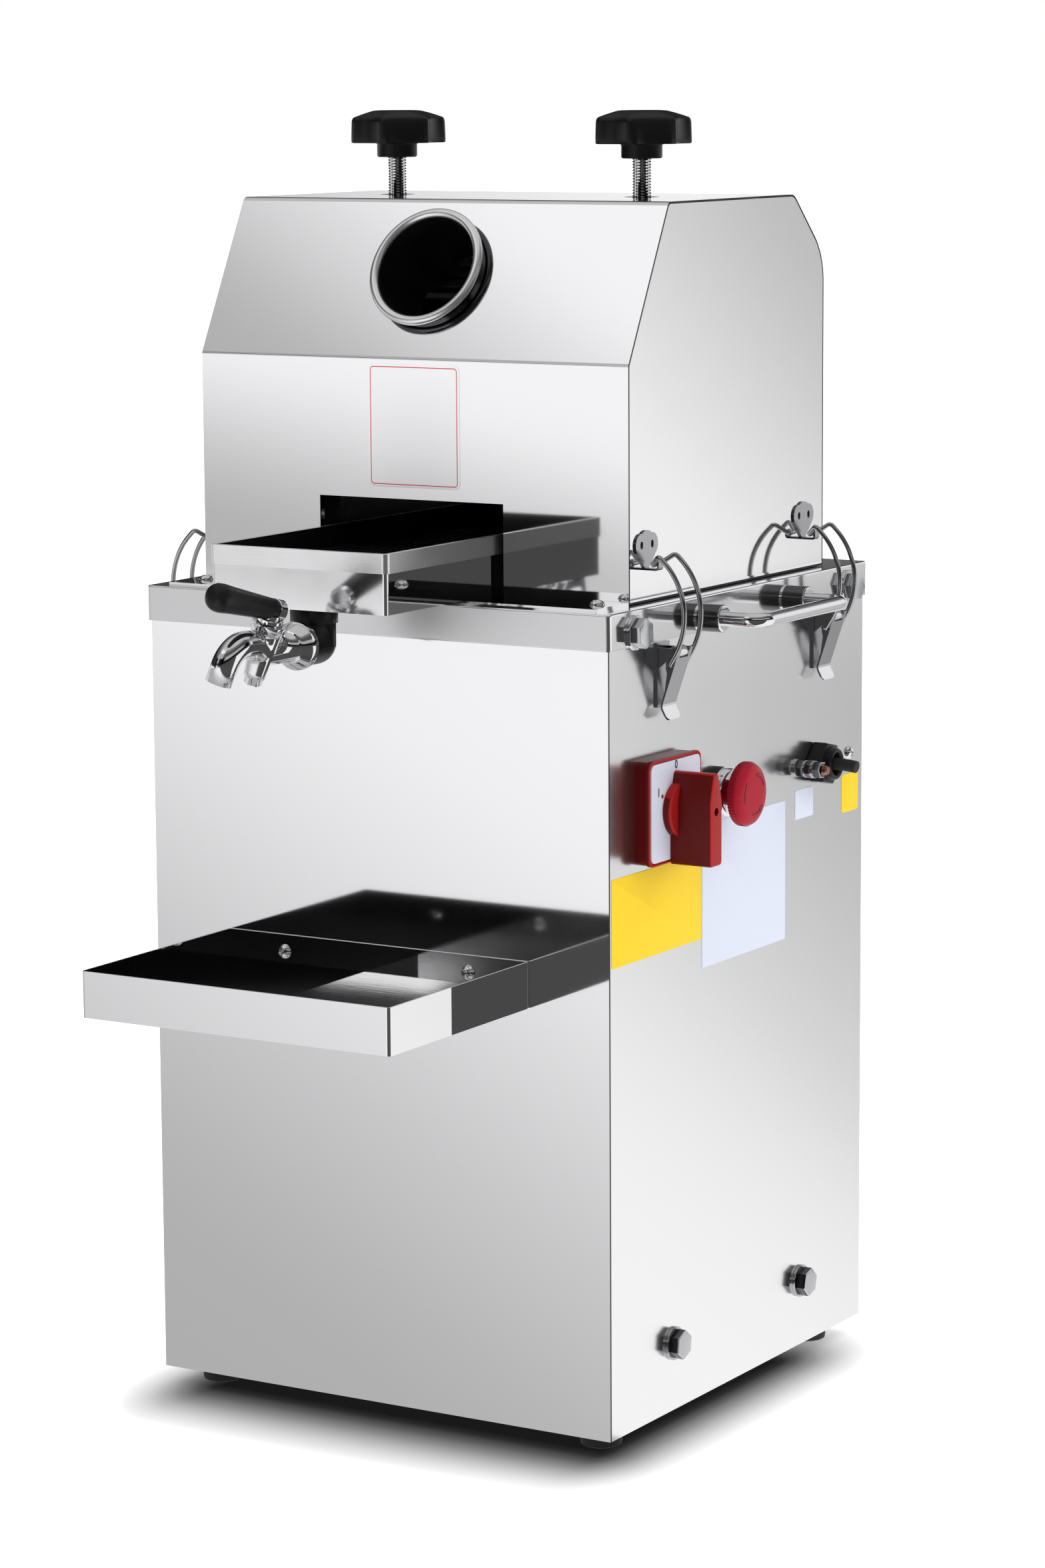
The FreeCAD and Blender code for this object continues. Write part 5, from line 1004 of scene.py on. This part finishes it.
# the strainer's inside takes near-black steel: painted shade, and the dark look of its fine holes
partFinish(even(smoothNode("strainer", "rimSteel", sharp=30), 30), "paintedShadeHollow", inStrainer)
print("tap and strainer made")

# latches
leverShape = {"pivotX": 177.0, "pivotZ": 488.0, "y": 101.0, "notchHalf": 5.2, "notchDrop": 3.4, "notchRise": 6.0,
              "notchX": (1.0, 9.0), "roller": 3.7, "bore": 1.7, "rollerHalf": 4.8, "tipZ": 456.5, "tipCorner": 3.6,
              "tipSheet": 1.3}


def roundTip(piece, shape, y):
    # the lever's lower corners are rounded
    bm = bmesh.new()
    bm.from_mesh(piece.data)
    bmesh.ops.dissolve_limit(bm, angle_limit=0.01, verts=bm.verts, edges=bm.edges)
    foot = min(v.co.z for v in bm.verts) + shape["tipSheet"] * mm
    half = max(abs(v.co.y - y) for v in bm.verts) - 1e-5
    corners = [e for e in bm.edges if all(v.co.z < foot and abs(v.co.y - y) > half for v in e.verts)
               and abs(e.verts[0].co.y - e.verts[1].co.y) < 1e-5]
    softened(bm, corners, shape["tipCorner"] * mm, 6)
    bm.to_mesh(piece.data)
    bm.free()
    return piece


def makeLatch(shape, name, sign, ahead):
    pivotX, z, y, half, drop, rise = (shape[k] * mm for k in (
        "pivotX", "pivotZ", "y", "notchHalf", "notchDrop", "notchRise"))
    r, bore, reach = (shape[k] * mm for k in ("roller", "bore", "rollerHalf"))
    x, y = pivotX * sign, y * ahead
    near, far = sorted(x + sign * value * mm for value in shape["notchX"])
    lever = smoothNode("latch_lever_" + name, "latchSteel", sharp=30)
    drilled(lever, box((near, y - half, z - drop), (far, y + half, z + rise)))
    even(roundTip(lever, shape, y), 30)
    partFinish(lever, "chrome", lambda face: face.center.z < shape["tipZ"] * mm)
    roller = spun(ringProfile(bore, r, -reach, reach, 0.0003), 40)
    pieceFrom(placed(roller, aim((x, y, z), (0, 1, 0))), "latchRoller_" + name, "rimSteel", "lever_" + name,
              (), 40)
    smoothNode("latch_bail_" + name, "latchSteel", sharp=50)


for side, sign in (("left", -1), ("right", 1)):
    for place, ahead in (("front", -1), ("rear", 1)):
        makeLatch(leverShape, "%s_%s" % (side, place), sign, ahead)

# parts inside the hood and cabinet
innerFinishes = {"turnedSteel": ("top_roller", "front_roller", "rear_roller"),
                 "gearSteel": ("top_gear", "front_gear", "rear_gears", "idler_gear", "output_shaft"),
                 "bronze": ("roller_bushes", "bearing_blocks"), "zincSteel": ("head_bars",)}
for finish, nodes in innerFinishes.items():
    for node in nodes:
        smoothNode(node, finish, sharp=28)
smoothNode("gearbox", "gearboxPaint", sharp=35)
smoothNode("motor", "motorPaint", sharp=35)
print("inner parts made")

# stage
stageValues = {
    # shift, inner, spread and contact set the floor's painted shadow round the cabinet
    "floorHalf": 30.0, "lampNear": 10.0, "lampFar": 22.0, "lift": 0.8, "shift": (0.010, -0.040, 0),
    "inner": (0.14, 0.11, 0), "spread": (1.6, 1.0, 1.0), "rightOf": 0.16, "frontOf": -0.12, "leastReach": 0.4,
    "contact": ((0.0, 0.010), (0.010, 0.022), (0.023, 0.078), (0.038, 0.19), (0.053, 0.34), (0.068, 0.49),
                (0.083, 0.62), (0.095, 0.76), (0.110, 1.0)),
    "softAround": ((0.0, 0.9), (0.2, 0.5), (0.35, 0.5), (0.5, 0.5), (0.6, 0.6), (0.75, 0.78), (0.85, 0.8), (1.0, 0.9)),
    "softUp": ((0.4, 0.0), (0.8, 1.0)), "softTop": 1.0, "fanHeight": 0.8356, "fanSplit": 0.517,
    # ahead, aside, beyondRight and elsewhere, with fanHeight and fanSplit above, set the floor's painted light that
    # glossy rays see
    "ahead": {"sign": -1, "behind": 2.1072, "reach": 2.2722, "start": 1.4839,
              "near": (0.52, ((-0.05, 0.47), (0.03, 0.485), (0.09, 0.525), (0.15, 0.585), (0.20, 0.637), (0.24, 0.687),
                              (0.30, 0.77), (0.36, 0.855), (0.40, 0.905), (0.445, 0.96), (0.50, 0.988), (0.56, 1.0))),
              "far": (0.19, ((0.53, 0.48), (0.55, 0.53), (0.565, 0.59), (0.575, 0.638), (0.587, 0.70), (0.597, 0.76),
                             (0.608, 0.82), (0.617, 0.87), (0.628, 0.935), (0.64, 0.975), (0.66, 1.0)))},
    "aside": {"sign": 1, "behind": 1.1539, "reach": 1.3189, "start": -2.4372,
              "near": (0.663, ((0.0, 1.0), (0.08, 0.98), (0.106, 0.96), (0.15, 0.93), (0.17, 0.91), (0.19, 0.88),
                               (0.216, 0.846), (0.24, 0.785), (0.267, 0.74), (0.293, 0.71), (0.32, 0.674),
                               (0.346, 0.63), (0.392, 0.60), (0.42, 0.56), (0.465, 0.503), (0.51, 0.47))),
              "far": (0.67, ((0.52, 0.946), (0.549, 0.915), (0.574, 0.87), (0.60, 0.83), (0.63, 0.785),
                             (0.656, 0.745), (0.683, 0.70), (0.72, 0.645), (0.756, 0.60), (0.80, 0.545)))},
    "beyondRight": ((0.17, 1.0), (0.30, 0.08), (3.0, 0.07)),
    "elsewhere": ((0.15, 0.95), (0.6, 0.80), (2.5, 0.62), (6.0, 0.72)),
    "aroundLow": ((0.0, 0.9), (0.08, 0.9), (0.12, 0.08), (0.2, 0.08), (0.24, 1.0), (0.34, 1.0), (0.355, 0.15),
                  (0.385, 0.15), (0.40, 0.60), (0.4165, 0.92), (0.44, 0.85), (0.49, 0.06), (0.84, 0.06), (0.89, 0.9),
                  (0.95, 0.9), (1.0, 0.9)),
    "aroundHigh": ((0.0, 0.3), (0.3, 0.3), (0.35, 0.6), (0.362, 1.0), (0.46, 1.0), (0.52, 0.2), (0.85, 0.15),
                   (0.9, 0.6), (1.0, 0.3)),
    "lowBand": ((0.0, 1.0), (0.05, 1.0), (0.11, 0.03), (0.40, 0.03)),
    "highBand": ((0.40, 0.45), (0.633, 0.483), (0.640, 0.53), (0.645, 0.59), (0.650, 0.67), (0.655, 0.74),
                 (0.660, 0.80), (0.665, 0.87), (0.670, 0.95), (0.675, 1.0)),
    "toHigh": ((0.40, 0.0), (0.46, 1.0)),
    "clear": ((0.86, 0.0), (0.885, 1.0), (0.985, 1.0), (1.0, 0.6)), "clearBand": ((0.34, 1.0), (0.40, 0.6)),
    "faint": ((0.53, 0.0), (0.57, 0.45), (0.79, 0.45), (0.83, 0.0)), "faintBand": ((0.20, 0.0), (0.27, 1.0)),
    "frontSector": ((0.375, 0.0), (0.385, 1.0), (0.418, 1.0), (0.425, 0.0)),
    "frontBand": ((0.0, 1.0), (0.15, 0.9), (0.18, 0.03), (0.225, 0.03), (0.26, 0.8), (0.40, 0.6)),
    "windowLean": (0.32, -0.78), "windowAround": ((0.4692, 0.0), (0.4700, 1.0), (0.4745, 1.0), (0.4752, 0.0)),
    "windowUp": ((-0.1236, 0.0), (-0.1228, 1.0), (-0.1166, 1.0), (-0.1161, 0.0)), "window": 1.0,
    "overhead": 0.55, "toOverhead": ((0.72, 0.0), (0.84, 1.0)), "blueLift": 1.005}


def grey(level):
    return (level, level, level, 1)


def ramp(tree, socket, stops, interpolation="EASE"):
    node = addNode(tree, "ValToRGB", {"Fac": socket})
    node.color_ramp.interpolation = interpolation
    elements = node.color_ramp.elements
    while len(elements) < len(stops):
        elements.new(0.5)
    for element, (position, level) in zip(elements, stops):
        element.position = position
    for element, (position, level) in zip(elements, stops):
        element.color = (level, level, level * stageValues["blueLift"], 1)
    return node.outputs["Color"]


def track(tree, socket, stops, interpolation="LINEAR"):
    # ramp whose stops are given in the socket's own units
    low, high = stops[0][0], stops[-1][0]
    scaled = [((place - low) / (high - low), level) for place, level in stops]
    share = addNode(tree, "MapRange", {"Value": socket, "From Min": low, "From Max": high})
    return ramp(tree, share.outputs[0], scaled, interpolation)


def fanOf(tree, out, along, values, height, split, leastReach):
    # painted light on the table that glossy rays see: a fan that narrows and steps with distance, near and far part
    reach = mathOf(tree, "MAXIMUM", mathOf(tree, "MULTIPLY_ADD", out, values["sign"], values["behind"]), leastReach)
    share = mathOf(tree, "DIVIDE", values["reach"], reach)
    rise = mathOf(tree, "MULTIPLY_ADD", share, -height, height)
    run = mathOf(tree, "MULTIPLY", mathOf(tree, "SUBTRACT", along, values["start"]), share)
    run = mathOf(tree, "ADD", run, values["start"])
    near, far = (track(tree, mathOf(tree, "MULTIPLY_ADD", run, slant, rise), stops)
                 for slant, stops in (values["near"], values["far"]))
    return mixOf(tree, "MIX", near, far, mathOf(tree, "GREATER_THAN", rise, split))


def makeFloor(values):
    # white floor with a painted shadow round the cabinet; glossy rays see it glow with painted light, graded from near
    # to far as on a lit studio table
    bm = bmesh.new()
    bmesh.ops.create_grid(bm, x_segments=1, y_segments=1, size=values["floorHalf"])
    mesh = bpy.data.meshes.new("studioFloor")
    bm.to_mesh(mesh)
    bm.free()
    floor = bpy.data.objects.new("studioFloor", mesh)
    bpy.context.scene.collection.objects.link(floor)
    material, tree, shader = startMaterial("studioFloor")
    place = addNode(tree, "TexCoord").outputs["Object"]
    east, north, _ = addNode(tree, "SeparateXYZ", {0: place}).outputs
    ahead, aside = (fanOf(tree, out, along, values[side], values["fanHeight"], values["fanSplit"], values["leastReach"])
                    for side, out, along in (("ahead", north, east), ("aside", east, north)))
    ahead = mixOf(tree, "MULTIPLY", ahead, track(tree, east, values["beyondRight"]))
    other = track(tree, vectorOf(tree, "LENGTH", place, output="Value"), values["elsewhere"])
    beside = mixOf(tree, "MIX", other, aside, mathOf(tree, "GREATER_THAN", east, values["rightOf"]))
    lit = mixOf(tree, "MIX", beside, ahead, mathOf(tree, "LESS_THAN", north, values["frontOf"]))
    # painted shadow: under and close round the cabinet the floor's colour and glow are darkened
    away = vectorOf(tree, "ABSOLUTE", vectorOf(tree, "SUBTRACT", place, values["shift"]))
    away = vectorOf(tree, "MAXIMUM", vectorOf(tree, "SUBTRACT", away, values["inner"]), (0, 0, 0))
    away = vectorOf(tree, "MULTIPLY", away, values["spread"])
    paintedShadow = track(tree, vectorOf(tree, "LENGTH", away, output="Value"), values["contact"])
    feed(tree, shader, {"Roughness": 1.0, "Specular IOR Level": 0.0, "Base Color": paintedShadow, "Emission Color": paintedShadow,
                        "Emission Strength": values["lift"]})
    glow = addNode(tree, "Emission", {"Color": lit})
    glossy = addNode(tree, "LightPath").outputs["Is Glossy Ray"]
    both = addNode(tree, "MixShader", {0: glossy, 1: shader.outputs[0], 2: glow.outputs[0]})
    feed(tree, tree.nodes["Material Output"], {"Surface": both.outputs[0]})
    mesh.materials.append(material)
    return floor


def makeWorld(values):
    # white to the camera, brighter from the right for diffuse light, banded by direction for reflections
    world = bpy.data.worlds.new("studio")
    bpy.context.scene.world = world
    world.use_nodes = True
    tree = world.node_tree
    place = addNode(tree, "TexCoord").outputs["Generated"]
    across, along, up = addNode(tree, "SeparateXYZ", {0: place}).outputs
    angle = mathOf(tree, "ARCTAN2", across, mathOf(tree, "MULTIPLY", along, -1))
    turn = mathOf(tree, "MULTIPLY_ADD", angle, 1 / math.tau, 0.5)

    def around(name):
        return track(tree, turn, values[name])

    def upward(name):
        return track(tree, up, values[name])

    lowBand = mixOf(tree, "MIX", upward("lowBand"), upward("frontBand"), around("frontSector"))
    lowBand = mixOf(tree, "LIGHTEN", lowBand, mixOf(tree, "MULTIPLY", around("clear"), upward("clearBand")))
    low = mixOf(tree, "MULTIPLY", ramp(tree, turn, values["aroundLow"]), lowBand)
    low = mixOf(tree, "LIGHTEN", low, mixOf(tree, "MULTIPLY", around("faint"), upward("faintBand")))
    leanAround, leanUp = values["windowLean"]
    windowTurn = mathOf(tree, "MULTIPLY_ADD", up, leanAround, turn)
    windowRise = mathOf(tree, "MULTIPLY_ADD", turn, leanUp, up)
    window = mixOf(tree, "MULTIPLY", track(tree, windowTurn, values["windowAround"]),
                   track(tree, windowRise, values["windowUp"]))
    low = mixOf(tree, "MIX", low, grey(values["window"]), window)
    high = mixOf(tree, "MULTIPLY", ramp(tree, turn, values["aroundHigh"]), upward("highBand"))
    lit = mixOf(tree, "MIX", low, high, upward("toHigh"))
    lit = mixOf(tree, "MIX", lit, grey(values["overhead"]), track(tree, up, values["toOverhead"], "EASE"))
    soft = mixOf(tree, "MIX", around("softAround"), grey(values["softTop"]), upward("softUp"))
    path = addNode(tree, "LightPath").outputs
    seen = mixOf(tree, "MIX", soft, lit, path["Is Glossy Ray"])
    seen = mixOf(tree, "MIX", seen, (1, 1, 1, 1), path["Is Camera Ray"])
    feed(tree, tree.nodes["Background"], {"Color": seen})


def makeLamp(name, place, target, size, power):
    lamp = bpy.data.lights.new(name, "AREA")
    lamp.energy = power
    lamp.size = size
    holder = bpy.data.objects.new(name, lamp)
    bpy.context.scene.collection.objects.link(holder)
    holder.location = place
    holder.rotation_euler = (Vector(target) - Vector(place)).to_track_quat("-Z", "Y").to_euler()
    holder.visible_glossy = False
    return holder


cameraValues = {"place": (1.4839, -2.4372, 0.8356), "yaw": -31.24, "pitch": -9.08, "roll": -0.37, "lens": 103.39}


def makeCamera(values):
    yaw, pitch, roll = (math.radians(values[k]) for k in ("yaw", "pitch", "roll"))
    ahead = Vector((math.sin(yaw) * math.cos(pitch), math.cos(yaw) * math.cos(pitch), math.sin(pitch)))
    level = Vector((math.cos(yaw), -math.sin(yaw), 0))
    above = level.cross(ahead)
    right = level * math.cos(roll) + above * math.sin(roll)
    up = above * math.cos(roll) - level * math.sin(roll)
    data = bpy.data.cameras.new("mainCamera")
    data.sensor_width = 36
    data.lens = values["lens"]
    camera = bpy.data.objects.new("mainCamera", data)
    bpy.context.scene.collection.objects.link(camera)
    turn = Matrix((right, up, -ahead)).transposed().to_4x4()
    camera.matrix_world = Matrix.Translation(values["place"]) @ turn
    bpy.context.scene.camera = camera


floor = makeFloor(stageValues)
makeWorld(stageValues)
makeLamp("nearLamp", (-1.6, -1.9, 2.6), (0, 0, 0.3), 1.8, stageValues["lampNear"])
makeLamp("farLamp", (1.9, 1.2, 2.8), (0, 0, 0.3), 2.2, stageValues["lampFar"])
makeCamera(cameraValues)
bpy.context.scene.view_settings.view_transform = "Standard"
print("stage made")
